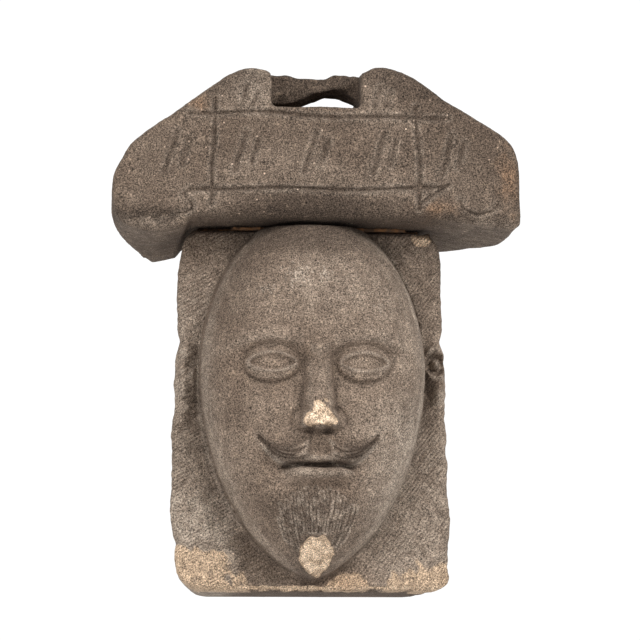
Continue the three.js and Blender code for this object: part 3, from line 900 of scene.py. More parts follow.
def wear_tool():
    tree, given = new_tool("wear_stone", {
        "Hollow Depth": "Float", "Hollow Size": "Float", "Pit Depth": "Float", "Pit Size": "Float",
        "Break Depth": "Float", "Seed": "Float", "Stone": "Material",
    })
    hollows = solid_noise(tree, given["Hollow Size"], given["Seed"], 2.0)
    pits = solid_noise(tree, given["Pit Size"], plus(tree, given["Seed"], PIT_SEED_STEP), 3.0)
    fresh = named_value(tree, "fresh")
    place = add_node(tree, "GeometryNodeInputPosition")
    split = add_node(tree, "ShaderNodeSeparateXYZ", inputs={"Vector": place.outputs["Position"]})
    keep = map_smooth(tree, split.outputs["Y"], *UNWORN_BACK, 1.0, 0.0)
    worn = times(tree, hollows, given["Hollow Depth"])
    roughening = maths(tree, "MULTIPLY_ADD", fresh, 1.2, 1.0)
    roughening = maths(tree, "SUBTRACT", roughening, named_value(tree, "calm"))
    pitted = times(tree, times(tree, pits, given["Pit Depth"]), roughening)
    broken = times(tree, fresh, times(tree, given["Break Depth"], -1.0))
    amount = plus(tree, plus(tree, worn, pitted), broken)
    moved = push_along_normal(tree, given["Geometry"], times(tree, amount, keep))
    end_tool(tree, moved, given["Stone"])
    return tree


cut_grooves = groove_cutter()
wear_stone = wear_tool()
print("tools", cut_grooves.name, wear_stone.name)


# %% [markdown]
# ## Sandstone
# Sandstone is grains of quartz in a soft binder, so up close it is a speckle of light and dark
# grains, and from further off it is clouded by soot and iron. The material builds those
# scales one over another from noise in the stone's own space. The attributes then lay the pale
# breaks, the ochre stains, the scuffs, dirt, painted shade and painted light over them, with
# the painted shade darkest in the cuts.

# %% The sandstone material
GRAIN_SIZE = 0.0011
SPECK_PITCH = 1.3 * GRAIN_SIZE
CRYSTAL_PITCH = 0.007
MOTTLE_SIZE = 0.010
CLOUD_SIZE = 0.055
# The darkest colour is both soot in the skin and painted shade in hollows, in the cuts and under the
# cap.
SOOT_AND_SHADE = (0.075, 0.053, 0.039, 1)
BROWN = (0.165, 0.119, 0.087, 1)
WORN = (0.245, 0.184, 0.138, 1)
PALE = (0.740, 0.565, 0.405, 1)
PALE_SHADE = (0.360, 0.250, 0.162, 1)
OCHRE = (0.310, 0.175, 0.095, 1)
# This pale colour is both scuffed skin and painted light and painted highlights.
PALE_WEAR_AND_PAINTED_LIGHT = (0.430, 0.358, 0.288, 1)
HATCH_SHADE = 0.18
HATCH_WANDER = 0.024
# How far the dirt and painted shade darken the skin at most.
DIRT_AND_SHADE_SHARE = 0.82
GRAIN_BRIGHTNESS = 1.04
DARKEST_GRAIN = 0.25
STONE_ROUGHNESS = 0.95


def shader_noise(tree, coords, size, detail, roughness=0.6):
    node = add_node(tree, "ShaderNodeTexNoise", inputs={
        "Vector": coords, "Scale": 1 / size, "Detail": detail, "Roughness": roughness,
    })
    return node.outputs[0]


def shader_attribute(tree, name):
    return add_node(tree, "ShaderNodeAttribute", {"attribute_name": name}).outputs["Fac"]


def blend_colours(tree, amount, first, second, kind="MIX"):
    node = tree.nodes.new("ShaderNodeMix")
    node.data_type = "RGBA"
    node.blend_type = kind
    for socket, value in ((node.inputs[0], amount), (node.inputs[6], first), (node.inputs[7], second)):
        if isinstance(value, bpy.types.NodeSocket):
            tree.links.new(value, socket)
        else:
            socket.default_value = value
    return node.outputs[2]


def weathered_skin(tree, coords, mottle, tone):
    """Brown stone clouded with pale worn places and soot, then darkened by dirt and painted shade and
    lightened by scuffs, painted light and painted highlights along the grooves.
    """
    cloud = map_smooth(tree, shader_noise(tree, coords, CLOUD_SIZE, 5.0), 0.35, 0.68)
    skin = blend_colours(tree, cloud, BROWN, WORN)
    skin = blend_colours(tree, map_smooth(tree, mottle, 0.0, 0.8, 0.3, 0.0), skin, SOOT_AND_SHADE)
    # Dirt and painted shade from the vertices.
    skin = blend_colours(tree, times(tree, shader_attribute(tree, "dirt"), DIRT_AND_SHADE_SHARE), skin, SOOT_AND_SHADE)
    patchy = map_smooth(tree, mottle, 0.0, 1.0, 0.3, 0.75)
    # Scuffs and painted light from the vertices.
    skin = blend_colours(tree, times(tree, shader_attribute(tree, "light"), patchy), skin, PALE_WEAR_AND_PAINTED_LIGHT)
    sparse = map_smooth(tree, mottle, 0.0, 1.0, 0.02, 0.22)
    # A painted highlight along the edges of the grooves.
    skin = blend_colours(tree, times(tree, shader_attribute(tree, "lip"), sparse), skin, PALE_WEAR_AND_PAINTED_LIGHT)
    return blend_colours(tree, 1.0, skin, (tone, tone, tone, 1), "MULTIPLY")


def broken_and_stained(tree, mottle, skin):
    """Lays the pale breaks, the ochre stains and the painted shade in the cuts over the skin."""
    fresh = shader_attribute(tree, "fresh")
    clean = map_smooth(tree, fresh, 0.6, 1.0, 0.35, 1.0)
    clean = times(tree, clean, map_smooth(tree, mottle, 0.0, 0.7, 0.3, 1.0))
    inside = blend_colours(tree, clean, PALE_SHADE, PALE)
    ragged = maths(tree, "MULTIPLY_ADD", mottle, 0.5, -0.25)
    broken = map_smooth(tree, plus(tree, fresh, ragged), 0.15, 0.6)
    stone = blend_colours(tree, broken, skin, inside)
    patchy = map_smooth(tree, mottle, 0.1, 0.9, 0.35, 1.0)
    stone = blend_colours(tree, times(tree, shader_attribute(tree, "ochre"), patchy), stone, OCHRE)
    # Painted shade in the grooves and on the slot's right wall.
    cut = map_smooth(tree, shader_attribute(tree, "cut"), 0.15, 1.0, 0.0, 0.85)
    return blend_colours(tree, cut, stone, SOOT_AND_SHADE)


def scattered_cells(tree, coords, pitch):
    """A cell round each scattered grain: the distance to its middle, and its own random tones."""
    cells = add_node(tree, "ShaderNodeTexVoronoi", inputs={
        "Vector": coords, "Scale": 1 / pitch, "Randomness": 1.0,
    })
    tones = add_node(tree, "ShaderNodeSeparateColor", inputs={"Color": cells.outputs["Color"]})
    return cells.outputs["Distance"], tones.outputs


def speckled_grains(tree, coords, grain, crystals, contrast):
    """The brightness of the single grains: light, dark, and here and there a glint of quartz."""
    grains = maths(tree, "MULTIPLY_ADD", grain, contrast, GRAIN_BRIGHTNESS - contrast / 2)
    grains = maths(tree, "MAXIMUM", grains, DARKEST_GRAIN)
    tones = scattered_cells(tree, coords, SPECK_PITCH)[1]
    bright = map_smooth(tree, tones[0], 0.93, 0.99, 0.0, 0.6)
    dark = map_smooth(tree, tones[1], 0.88, 0.96, 0.0, -0.25)
    grains = plus(tree, grains, plus(tree, bright, dark))
    distance, tones = scattered_cells(tree, coords, CRYSTAL_PITCH)
    glint = map_smooth(tree, distance, 0.08, 0.14, crystals, 0.0)
    return plus(tree, grains, times(tree, glint, map_smooth(tree, tones[0], 0.5, 0.9)))


def chisel_hatching(tree, coords):
    """Fine parallel strokes where the mason's comb went, from -1 to 1."""
    wander = shader_noise(tree, coords, HATCH_WANDER, 2.0)
    turns = plus(tree, shader_attribute(tree, "across"), wander)
    wave = maths(tree, "SINE", times(tree, turns, 2 * math.pi))
    return times(tree, wave, shader_attribute(tree, "hatch"))


def rough_surface(tree, colour, height, strength, depth):
    """Ends a material: a matt shader with a bump that is depth metres deep."""
    bump = add_node(tree, "ShaderNodeBump", inputs={
        "Height": height, "Strength": strength, "Distance": depth,
    })
    shader = add_node(tree, "ShaderNodeBsdfPrincipled", inputs={
        "Base Color": colour, "Roughness": STONE_ROUGHNESS, "Normal": bump.outputs["Normal"],
    })
    add_node(tree, "ShaderNodeOutputMaterial", inputs={"Surface": shader.outputs["BSDF"]})
    return shader


def new_material(name):
    """An empty material, its node tree, and the places in the stone's own space."""
    material = bpy.data.materials.new(name)
    material.use_nodes = True
    tree = material.node_tree
    tree.nodes.clear()
    return material, tree, add_node(tree, "ShaderNodeTexCoord").outputs["Object"]


def sandstone(name, tone, pitting, crystals, contrast):
    """tone lightens or darkens the weathered skin, pitting is the bump's depth in metres, and
    crystals is how bright the scattered grains of clear quartz are. contrast is the grains'."""
    material, tree, coords = new_material(name)
    mottle = map_smooth(tree, shader_noise(tree, coords, MOTTLE_SIZE, 5.0, 0.7), 0.34, 0.66)
    grain = shader_noise(tree, coords, GRAIN_SIZE, 3.0, 0.75)
    hatching = chisel_hatching(tree, coords)
    stone = broken_and_stained(tree, mottle, weathered_skin(tree, coords, mottle, tone))

    speckle = speckled_grains(tree, coords, grain, crystals, contrast)
    speckle = times(tree, speckle, maths(tree, "MULTIPLY_ADD", hatching, HATCH_SHADE, 1.0))
    grey = add_node(tree, "ShaderNodeCombineColor", inputs={
        "Red": speckle, "Green": speckle, "Blue": speckle,
    })
    stone = blend_colours(tree, 1.0, stone, grey.outputs["Color"], "MULTIPLY")

    height = plus(tree, times(tree, grain, 0.55), times(tree, mottle, 0.6))
    height = maths(tree, "MULTIPLY_ADD", hatching, 0.3, height)
    strength = maths(tree, "MULTIPLY_ADD", shader_attribute(tree, "calm"), -0.9, 0.9)
    shader = rough_surface(tree, stone, height, strength, pitting)
    shader.inputs["Specular IOR Level"].default_value = 0.25
    return material


block_stone = sandstone("block_sandstone", 1.0, 0.0011, 0.9, 6.9)
cap_stone_finish = sandstone("cap_sandstone", 0.82, 0.0013, 3.4, 8.2)
print("materials", block_stone.name, cap_stone_finish.name)


# %% [markdown]
# ## Strands and strokes on the head
# Each strand of the moustache and the beard is a line laid on the carved surface. A straight
# comb would look machine made, so every strand starts a little off its place, and the beard's
# strands are broken into short strokes that draw together at the tip.

# %% Lines to cut by
def on_head(points):
    """Lifts x, z places of the block's front onto the carved surface."""
    x, z = np.asarray(points, float).T
    return np.stack([x, -BLOCK_DEPTH - relief(x, z), z], 1)


def line_object(name, polylines):
    """One object whose edges are the given lines, in millimetres."""
    places = np.concatenate(polylines)
    edges = []
    start = 0
    for line in polylines:
        edges += [(start + k, start + k + 1) for k in range(len(line) - 1)]
        start += len(line)
    mesh = bpy.data.meshes.new(name)
    mesh.from_pydata([tuple(p) for p in places * MM], edges, [])
    guide = bpy.data.objects.new(name, mesh)
    bpy.context.scene.collection.objects.link(guide)
    return guide


def curve_through(points, count=24):
    """A smooth line through a few places, by cubic pieces between them."""
    points = np.asarray(points, float)
    ends = np.concatenate([[2 * points[0] - points[1]], points, [2 * points[-1] - points[-2]]])
    line = []
    for k in range(1, len(ends) - 2):
        a, b, c, d = ends[k - 1:k + 3]
        for t in np.linspace(0, 1, max(2, count // (len(points) - 1)), endpoint=False):
            line.append(0.5 * (2 * b + (c - a) * t + (2 * a - 5 * b + 4 * c - d) * t ** 2
                               + (3 * b - a - 3 * c + d) * t ** 3))
    line.append(points[-1])
    return np.array(line)


def moustache_strands():
    """Lines that flow along each half, the outer two just inside its upper and lower edge."""
    lines = []
    for side in (-1, 1):
        for k, lane in enumerate((-0.5, 0.0, 0.5, 0.95)):
            t = np.linspace(0.16 + 0.22 * (k % 2), 0.98 - 0.06 * (k % 3), 22)
            x = side * (MOUSTACHE_START + t * MOUSTACHE_REACH) + HEAD_OFFSET
            z = moustache_middle(t) + lane * moustache_half(t) * (1 - 0.15 * t)
            lines.append(on_head(np.stack([x, z + 0.4 * np.sin(9 * t + 4 * lane)], 1)))
    return lines


BEARD_STRANDS = 30
BEARD_HALF_WIDTH = 38
BEARD_DASH = 17


def beard_strands(random):
    """Short broken lines across the chin that draw together towards the beard's tip."""
    lines = []
    length = BEARD_START - 2 - BEARD_TIP
    for k in range(BEARD_STRANDS):
        lane = 2 * (k + random.uniform(0.1, 0.9)) / BEARD_STRANDS - 1
        at = random.uniform(0.0, 0.16) + 0.2 * abs(lane) ** 1.5
        end = mix(0.53, 0.85, smooth((abs(lane) - 0.45) / 0.2)) - 0.3 * abs(lane) ** 3
        while at < end - 0.05:
            to = min(end, at + random.uniform(0.4, 1.3) * BEARD_DASH / length)
            t = np.linspace(at, to, 7)
            drift = random.uniform(-1.6, 1.6)
            x = BEARD_HALF_WIDTH * lane * (1 - 0.75 * t ** 1.5) + drift * t / to + HEAD_OFFSET
            z = mix(BEARD_START - 2, BEARD_TIP + 2, t) - 5 * lane ** 2 * (1 - t)
            lines.append(on_head(np.stack([x, z], 1)))
            at = to + random.uniform(0.01, 0.07)
    return lines


HAIR_EDGES = (
    ((56, 143), (70, 122), (80, 98), (86, 76)),
    ((70, 130), (84, 104), (93, 78), (97, 54)),
)


def hair_edges():
    """Two fine lines down the right temple, where the hair starts."""
    return [on_head(curve_through(edge)) for edge in HAIR_EDGES]


strand_random = np.random.default_rng(7)
moustache_lines = line_object("moustache_lines", moustache_strands())
beard_lines = line_object("beard_lines", beard_strands(strand_random) + hair_edges())
print("moustache edges", len(moustache_lines.data.edges), "beard edges", len(beard_lines.data.edges))


# %% Dirt, stains, painted shade and painted light on the block
def hollowness(x, z, reach_mm):
    """How much a place lies below the carving round it, in millimetres."""
    around = 0.0
    turns = 8
    for k in range(turns):
        angle = 2 * np.pi * k / turns
        around = around + relief(x + reach_mm * np.cos(angle), z + reach_mm * np.sin(angle))
    return around / turns - relief(x, z)


HATCH_PITCH = 2.9
CAVITY_REACH = 5.0
WIDE_CAVITY_REACH = 13.0
INSIDE_FRONT = 8
CLEAN_BACK = 2


def hair_on(head_x, z):
    """How much of the moustache or the beard is at a place."""
    tufts = mix(0.3, 1.7, smooth((np.abs(head_x) - 12) / 14)) * smooth(moustache_form(head_x, z) / 2)
    beard = mix(1.3, 0.45, smooth((head_x + 6) / 30)) * smooth(beard_form(head_x, z) / 4)
    return tufts + beard


def painted_shade_and_dirt_in_places(x, y, z, front, on_field):
    """Painted shade under the cap, at the left temple and on the left cheek, the hair darkened by dirt
    and painted shade, and a darker band under the foot.
    """
    # Painted shade under the cap and at the left temple.
    under_cap = smooth((z - 108) / 40) * hill(x - 4, 70)
    left_temple = hill(x + 62, 22) * hill(z - 100, 40)
    # Painted shade on the left cheek, away from the key lamp.
    left_cheek = smooth((-x - 20) / 30) * (1 - on_field) * smooth((40 - z) / 40)
    # The hair is darkened by dirt and by painted shade, most on the moustache's outer tufts and the
    # beard's left side.
    of_face = 0.6 * hair_on(x - HEAD_OFFSET, z) + 0.16 * left_cheek
    behind_front = smooth((y + BLOCK_DEPTH - BLOCK_ARRIS + 3) / 4)
    # A darker band under the foot.
    under_foot = behind_front * smooth((BLOCK_FOOT + 4 - z) / 3)
    return 1.35 * under_cap + 0.5 * left_temple + of_face * front + under_foot


def painted_light_and_pale_places(x, z, front, on_field):
    """Where the skin is painted paler: a paler forehead, painted light that lifts the head's shadow off
    the field's left, painted light on the right side where the key lamp falls, and the scuffs.
    """
    forehead = 0.42 * hill(x - 12, 50) * hill(z - 98, 34)
    # Painted light on the field's left and lower left, where the head shades it from the key lamp.
    left_field = 0.1 + 0.55 * smooth((-x - 60) / 30) * smooth((140 - z) / 60)
    left_field = left_field + 1.3 * smooth((-x - 50) / 30) * smooth((-60 - z) / 40)
    # Painted light on the right side, which faces the key lamp.
    right_side = (0.25 + 0.7 * smooth((20 - z) / 60)) * smooth((x - 20) / 60) * front
    right_side = right_side * np.where(on_field, 0.65, 1.15)
    scuffed = np.zeros_like(x)
    for place in SCUFFS:
        scuffed = np.maximum(scuffed, smooth(in_break(place, x, z) + 0.8 * ripple(x, z, 2.6, 33)))
    return forehead + left_field * on_field + right_side + 1.2 * scuffed * front


def moustache_edge_highlight(head_x, z):
    """A painted highlight along the lower edge of the moustache."""
    along = clamp01((np.abs(head_x) - MOUSTACHE_START) / MOUSTACHE_REACH)
    foot = moustache_middle(along) - moustache_half(along)
    return 0.7 * hill(z - foot, 1.6) * smooth(along * 6) * smooth((1 - along) * 8)


def paint_block(piece):
    x, y, z = places_of(piece)
    head_x = x - HEAD_OFFSET
    reach = head_reach(head_x, z)
    on_field = reach > 1
    front = y < -BLOCK_DEPTH + BLOCK_ARRIS + 1
    inner_z = np.clip(z, BLOCK_FOOT + INSIDE_FRONT, BLOCK_TOP - INSIDE_FRONT)
    inner_half = block_half_width(z) - INSIDE_FRONT
    inner_x = np.clip(x, -inner_half, inner_half)
    cavity = np.where(front, hollowness(inner_x, inner_z, CAVITY_REACH), 0)
    wide_cavity = np.where(front, hollowness(inner_x, inner_z, WIDE_CAVITY_REACH), 0)
    # Hollows are painted darker as shade, more so lower down and less out on the field.
    dirt = 0.6 * smooth(cavity / 3.5) + 0.35 * smooth(wide_cavity / 9) * np.where(on_field, 0.3, 1.0)
    dirt = dirt * mix(0.3, 1.0, smooth((70 - z) / 60)) + painted_shade_and_dirt_in_places(x, y, z, front, on_field)
    # Raised places get a painted highlight; the places below add painted light, a paler forehead and the
    # scuffs, and the hair takes less of it.
    light = 0.6 * smooth(-cavity / 3) + painted_light_and_pale_places(x, z, front, on_field)
    light = 0.8 * light * (1 - 0.8 * clamp01(hair_on(head_x, z))) + moustache_edge_highlight(head_x, z) * front
    uncut = smooth((-y - CLEAN_BACK) / 14)
    hatched = smooth((reach - 1.02) / 0.05) * clamp01(0.6 + 0.5 * ripple(x, z, 20, 24))
    paint(piece, {
        "dirt": clamp01(dirt * uncut),
        "light": clamp01(light * uncut),
        "ochre": 0.35 * hill(x - 31, 20) * hill(z + 150, 12) * front,
        "fresh": fresh_amount(x, y, z),
        "hatch": hatched * front,
        "across": across_strokes(x, z) / HATCH_PITCH,
    })


paint_block(carved_block)

# %% Cut the strands and wear the block
# Each cut paints shade into its groove and a highlight along the groove's edges, as strong as the two
# amounts after the raggedness.
use_tool(carved_block, cut_grooves, {
    "Lines": moustache_lines, "Groove Width": 4.4 * MM, "Groove Depth": 2.8 * MM,
    "Raggedness": 0.2 * MM, "Dirt": 1.3, "Lip": 0.5, "Seed": 3.0, "Stone": block_stone,
})
use_tool(carved_block, cut_grooves, {
    "Lines": beard_lines, "Groove Width": 3.0 * MM, "Groove Depth": 1.3 * MM,
    "Raggedness": 0.25 * MM, "Dirt": 0.9, "Lip": 1.8, "Seed": 5.0, "Stone": block_stone,
})
use_tool(carved_block, wear_stone, {
    "Hollow Depth": 0.6 * MM, "Hollow Size": 30 * MM, "Pit Depth": 0.22 * MM, "Pit Size": 3.2 * MM,
    "Break Depth": 1.6 * MM, "Seed": 2.0, "Stone": block_stone,
})
apply_tools(carved_block)
shade(carved_block)
print("carved block", len(carved_block.data.polygons), "faces")


# %% [markdown]
# ## The cap stone
# The cap has a slot right through it, so no single net can make it. Voxel remeshing turns the
# construction solid into an even skin of small faces, as a sculptor's block of clay. Smoothing
# wears its corners round, then the front is made finer, because only the front carries lines.

# %% Remesh the solid
CAP_VOXEL = 2.1
BRIDGE_FRONT = cap_low.y + 30
BRIDGE_BACK = BRIDGE_FRONT + 40
SLOT_FLOOR = cap_high.z - 34
SLOT_HALF = 38
CAP_OFFSET = 1
CAP_FACE = cap_low.y
HOLLOW_OVER_HEAD = 11
LEFT_END_DENT = 6
RIGHT_SLOPE_SWELL = 4
RIGHT_FOOT_SWELL = 2.5
RIGHT_END_SWELL = 2
RIGHT_EAR_RISE = 2.5
LEFT_SOFFIT_SAG = 6
RIGHT_SOFFIT_SAG = 2
ROLLED_ARRIS = 7
SLOT_FLARE = 8


def remeshed_cap():
    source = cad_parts["cap_stone"]
    piece = bpy.data.objects.new("worn_cap", source.data.copy())
    bpy.context.scene.collection.objects.link(piece)
    tidy_mesh(piece, 0.02)
    remesh = piece.modifiers.new("remesh", "REMESH")
    remesh.mode = "VOXEL"
    remesh.voxel_size = CAP_VOXEL * MM
    remesh.adaptivity = 0.0
    soften = piece.modifiers.new("soften", "SMOOTH")
    soften.factor = 0.5
    soften.iterations = 6
    apply_tools(piece)
    return piece


worn_cap = remeshed_cap()
print("cap", len(worn_cap.data.polygons), "faces")


# %% Bend, droop and break the cap as a whole
def bend_ends(x, y, z):
    """Hollows the cap over the head, and lets its ends swell and sag unevenly."""
    front = smooth((CAP_FACE + 45 - y) / 40)
    over_head = hill(x, 52) * smooth((SOFFIT + 36 - z) / 36)
    y = y + HOLLOW_OVER_HEAD * over_head * front
    x = x + LEFT_END_DENT * hill(z - 207, 11) * smooth((-x - 138) / 20)
    right_slope = smooth((z - 205) / 25) * smooth((x - 60) / 25)
    right_foot = smooth((x - 135) / 25) * hill(z - SOFFIT + 5, 9)
    right_end = smooth((x - 150) / 15) * (1 - right_slope)
    x = x + RIGHT_SLOPE_SWELL * right_slope + RIGHT_FOOT_SWELL * right_foot + RIGHT_END_SWELL * right_end
    z = z + RIGHT_EAR_RISE * smooth((x - 40) / 10) * smooth((z - 255) / 20)
    near_soffit = smooth((SOFFIT + 30 - z) / 34)
    z = z - LEFT_SOFFIT_SAG * near_soffit * smooth((-x - 102) / 8) * smooth((x + 156) / 30)
    z = z - RIGHT_SOFFIT_SAG * near_soffit * smooth((x - 112) / 36)
    under_edge = smooth((SOFFIT + 9 - z) / 15) * smooth((np.abs(x) - 92) / 14)
    y = y + ROLLED_ARRIS * under_edge * smooth((CAP_FACE + 22 - y) / 20)
    return x, y, z


def wear_bridge(x, y, z):
    """Opens the slot behind the front, and leaves the bridge uneven below and on top."""
    flare = smooth((y - CAP_FACE - 25) / 60) * smooth((z - SLOT_FLOOR + 5) / 5)
    x = x + SLOT_FLARE * flare * smooth((x - 18) / 18) * smooth((66 - x) / 24)
    beside = smooth((SLOT_HALF + 3 - np.abs(x - CAP_OFFSET)) / 5)
    on_bridge = beside * (y > BRIDGE_FRONT - 8) * (y < BRIDGE_BACK + 8)
    on_bridge = on_bridge * smooth((z - SLOT_FLOOR - 8) / 4)
    underside = smooth((SLOT_FLOOR + 26 - z) / 8)
    z = z + on_bridge * underside * (5 * hill(x - 22, 16) - 4 * smooth((2 - x) / 16))
    raised = 3.5 * smooth((x - 10) / 10) + 2.5 * smooth((-10 - x) / 14) - 0.5 * hill(x - 4, 10)
    z = z + on_bridge * (1 - underside) * raised
    y = y + on_bridge * 1.8 * ripple(x, z, 9, 41)
    z = z + on_bridge * 0.9 * ripple(x, y, 10, 42)
    return x, y, z


def reshape_cap(piece):
    x, y, z = wear_bridge(*bend_ends(*places_of(piece)))
    set_places(piece, x, np.minimum(y, 0), z)


reshape_cap(worn_cap)


# %% Make the front finer
def refine_front(piece, depth_mm):
    """Cuts each face of the front into four, so that the grooves have enough vertices."""
    work = bmesh.new()
    work.from_mesh(piece.data)
    front = [f for f in work.faces if f.normal.y < -0.45 and f.calc_center_median().y < depth_mm * MM]
    edges = list({e for f in front for e in f.edges})
    bmesh.ops.subdivide_edges(work, edges=edges, cuts=1, use_grid_fill=True)
    odd = [f for f in work.faces if len(f.verts) > 4]
    bmesh.ops.triangulate(work, faces=odd)
    work.to_mesh(piece.data)
    work.free()


refine_front(worn_cap, cap_low.y + 16)
print("cap with a fine front", len(worn_cap.data.polygons), "faces")

# %% [markdown]
# ## The cap's lines
# The frame was ruled by hand: two long lines and two upright ones that cross and run on past
# each other, none of them quite straight. Ribbon ends curl out under it at both sides. The row
# of leaning strokes inside and beside the frame is only a pattern.

# %% Lines of the frame, the ribbon ends and the strokes
FRAME_HALF = 87
FRAME_LOW = 22
FRAME_HIGH = 85
FRAME_OVERRUN = 20
STROKE_PITCH = 58
STROKE_GAP = 12
STROKE_LEAN = 5
STROKE_HEIGHTS = (34, 20)
EAR_STROKES_OUT = 56
EAR_STROKE_GAP = 9
EAR_STROKE_FOOT = 94
EAR_STROKE_TOP = 110
IN_FRONT = 50

cap_surface = BVHTree.FromObject(worn_cap, bpy.context.evaluated_depsgraph_get())


def on_cap(points):
    """Lays x and the height above the soffit onto the stone, straight from in front."""
    laid = []
    for x, up in points:
        start = Vector((x + CAP_OFFSET, CAP_FACE - IN_FRONT, up + SOFFIT)) * MM
        hit = cap_surface.ray_cast(start, Vector((0, 1, 0)))[0]
        if hit is not None:
            laid.append(hit / MM)
    return np.array(laid)


def hand_ruled(start, end, seed, wander=0.9):
    """A line between two places that wanders a little, as a line cut by hand does."""
    t = np.linspace(0, 1, 28)
    x = mix(start[0], end[0], t)
    up = mix(start[1], end[1], t)
    drift = wander * ripple(up, x, 30, seed)
    rise = wander * ripple(x, up, 45, seed + 1)
    return on_cap(np.stack([x + drift, up + rise], 1))


def frame_lines():
    out = FRAME_HALF + FRAME_OVERRUN
    return [
        hand_ruled((-out, FRAME_HIGH + 2), (out + 4, FRAME_HIGH - 1), 51),
        hand_ruled((-out, FRAME_LOW), (out, FRAME_LOW + 3), 53),
        hand_ruled((-FRAME_HALF - 1, FRAME_LOW - 14), (-FRAME_HALF + 1, FRAME_HIGH + 13), 55),
        hand_ruled((FRAME_HALF, FRAME_LOW - 16), (FRAME_HALF - 3, FRAME_HIGH + 10), 57),
    ]


def ribbon_lines():
    left = curve_through([
        (-93, 22), (-106, 20), (-112, 17), (-107, 12), (-104, 7), (-107, 2), (-117, 0.5),
    ])
    right_fold = np.array([(FRAME_HALF + 1, 12), (98, 19), (111, 28)])
    right_curl = curve_through([(121, 15), (124, 8), (130, 4.5), (138, 3), (147, 5.5), (153, 11)])
    return [on_cap(line) for line in (left, right_fold, right_curl)]


def ribbon_dents():
    """A row of worn dents, all that is left of the ribbon's lower edge at the left."""
    dents = []
    for k, x in enumerate(np.arange(-118, -158, -8.5)):
        up = -1.5 + 2.4 * (k % 2) + 0.05 * (x + 117)
        dents.append(on_cap(np.array([(x + 2.4, up), (x, up - 1.6), (x - 2.2, up - 0.4)])))
    return dents


def stroke_lines():
    lines = []
    middle = (FRAME_LOW + FRAME_HIGH) / 2
    for pair in range(-2, 3):
        for k, height in enumerate(STROKE_HEIGHTS):
            x = pair * STROKE_PITCH + (k - 0.5) * STROKE_GAP
            lean = STROKE_LEAN * height / STROKE_HEIGHTS[0]
            foot = (x - lean, middle - height / 2)
            top = (x + lean, middle + height / 2)
            lines.append(hand_ruled(foot, top, 61 + pair, 0.5))
    return lines


def ear_lines():
    lines = []
    for side in (-1, 1):
        for k in range(2):
            x = side * EAR_STROKES_OUT + (k - 0.5) * EAR_STROKE_GAP
            foot = (x - 2, EAR_STROKE_FOOT)
            top = (x + 2, EAR_STROKE_TOP - 5 * k)
            lines.append(hand_ruled(foot, top, 71 + k, 0.4))
    return lines


frame_guide = line_object("frame_lines", frame_lines() + ribbon_lines())
stroke_guide = line_object("stroke_lines", stroke_lines() + ear_lines())
dent_guide = line_object("ribbon_dents", ribbon_dents())


# %% Stains, breaks, painted shade and painted light on the cap
CAP_CHIPS = (
    {"name": "left shoulder", "x": -98, "z": 252, "wide": 13, "high": 10},
    {"name": "right end", "x": 164, "z": 190, "wide": 15, "high": 36},
    {"name": "right ribbon", "x": 106, "z": 166, "wide": 26, "high": 9},
)


def paint_cap(piece):
    x, y, z = places_of(piece)
    ragged = 0.5 * ripple(x, z, 12, 81) + 0.3 * ripple(x, z, 5, 82)
    ochre = np.zeros_like(x)
    for chip in CAP_CHIPS:
        ochre = np.maximum(ochre, smooth(in_break(chip, x, z) + 0.4 * ragged))
    across = np.abs(x - CAP_OFFSET)
    in_slot = smooth((SLOT_HALF + 3.5 - across) / 3) * smooth((z - SLOT_FLOOR + 3) / 5)
    # Painted shade inside the slot.
    inner = in_slot * smooth((y - CAP_FACE - 8) / 14)
    crest = smooth((z - mix(252, 276, smooth((80 - np.abs(x)) / 60))) / 12)
    under = smooth((SOFFIT + 4 - z) / 9)
    # Painted shade in the hollow over the head.
    belly = hill(x, 60) * smooth((SOFFIT + 34 - z) / 28)
    # Painted shade under the rolled lower edge of the left end.
    wave = smooth((-x - 112) / 8) * hill(z - SOFFIT, 7)
    # Painted shade in the slot, on the soffit, over the head and under the left end; dirt on the crest
    # and a little all over; darker towards the right end and on the right ear.
    dirt = 0.7 * inner + 0.45 * crest + 0.22 * under + 1.25 * belly + 0.8 * wave + 0.16
    dirt = dirt + 0.3 * smooth((x - 60) / 60) + 0.15 * smooth((x - 30) / 20) * smooth((z - 240) / 20)
    # Painted light from below on the soffit's ends, more at the right, and a paler top on the left ear.
    light = (0.25 + 0.15 * (x > 0)) * under * smooth((np.abs(x) - 100) / 30)
    light = light + 0.35 * hill(x + 52, 20) * smooth((z - 240) / 20) * (1 - inner)
    # Painted shade on the slot's right wall, laid with the shade of the cuts.
    right_wall = in_slot * smooth((x - 28) / 6) * smooth((y - CAP_FACE - 10) / 12)
    paint(piece, {
        "dirt": clamp01(dirt),
        "light": clamp01(light),
        "ochre": 0.36 * ochre * smooth((CAP_FACE + 50 - y) / 30),
        "cut": 0.6 * right_wall * (y < BRIDGE_FRONT + 4),
        "calm": 0.85 * under,
    })


paint_cap(worn_cap)

# %% Cut the lines and wear the cap
# Each cut paints shade into its groove and a highlight along the groove's edges, as strong as the two
# amounts after the raggedness.
use_tool(worn_cap, cut_grooves, {
    "Lines": frame_guide, "Groove Width": 5.4 * MM, "Groove Depth": 2.8 * MM,
    "Raggedness": 0.4 * MM, "Dirt": 0.75, "Lip": 1.0, "Seed": 9.0, "Stone": cap_stone_finish,
})
use_tool(worn_cap, cut_grooves, {
    "Lines": stroke_guide, "Groove Width": 6.0 * MM, "Groove Depth": 2.5 * MM,
    "Raggedness": 0.4 * MM, "Dirt": 0.6, "Lip": 0.8, "Seed": 12.0, "Stone": cap_stone_finish,
})
use_tool(worn_cap, cut_grooves, {
    "Lines": dent_guide, "Groove Width": 6.4 * MM, "Groove Depth": 2.2 * MM,
    "Raggedness": 0.6 * MM, "Dirt": 0.5, "Lip": 0.0, "Seed": 15.0, "Stone": cap_stone_finish,
})
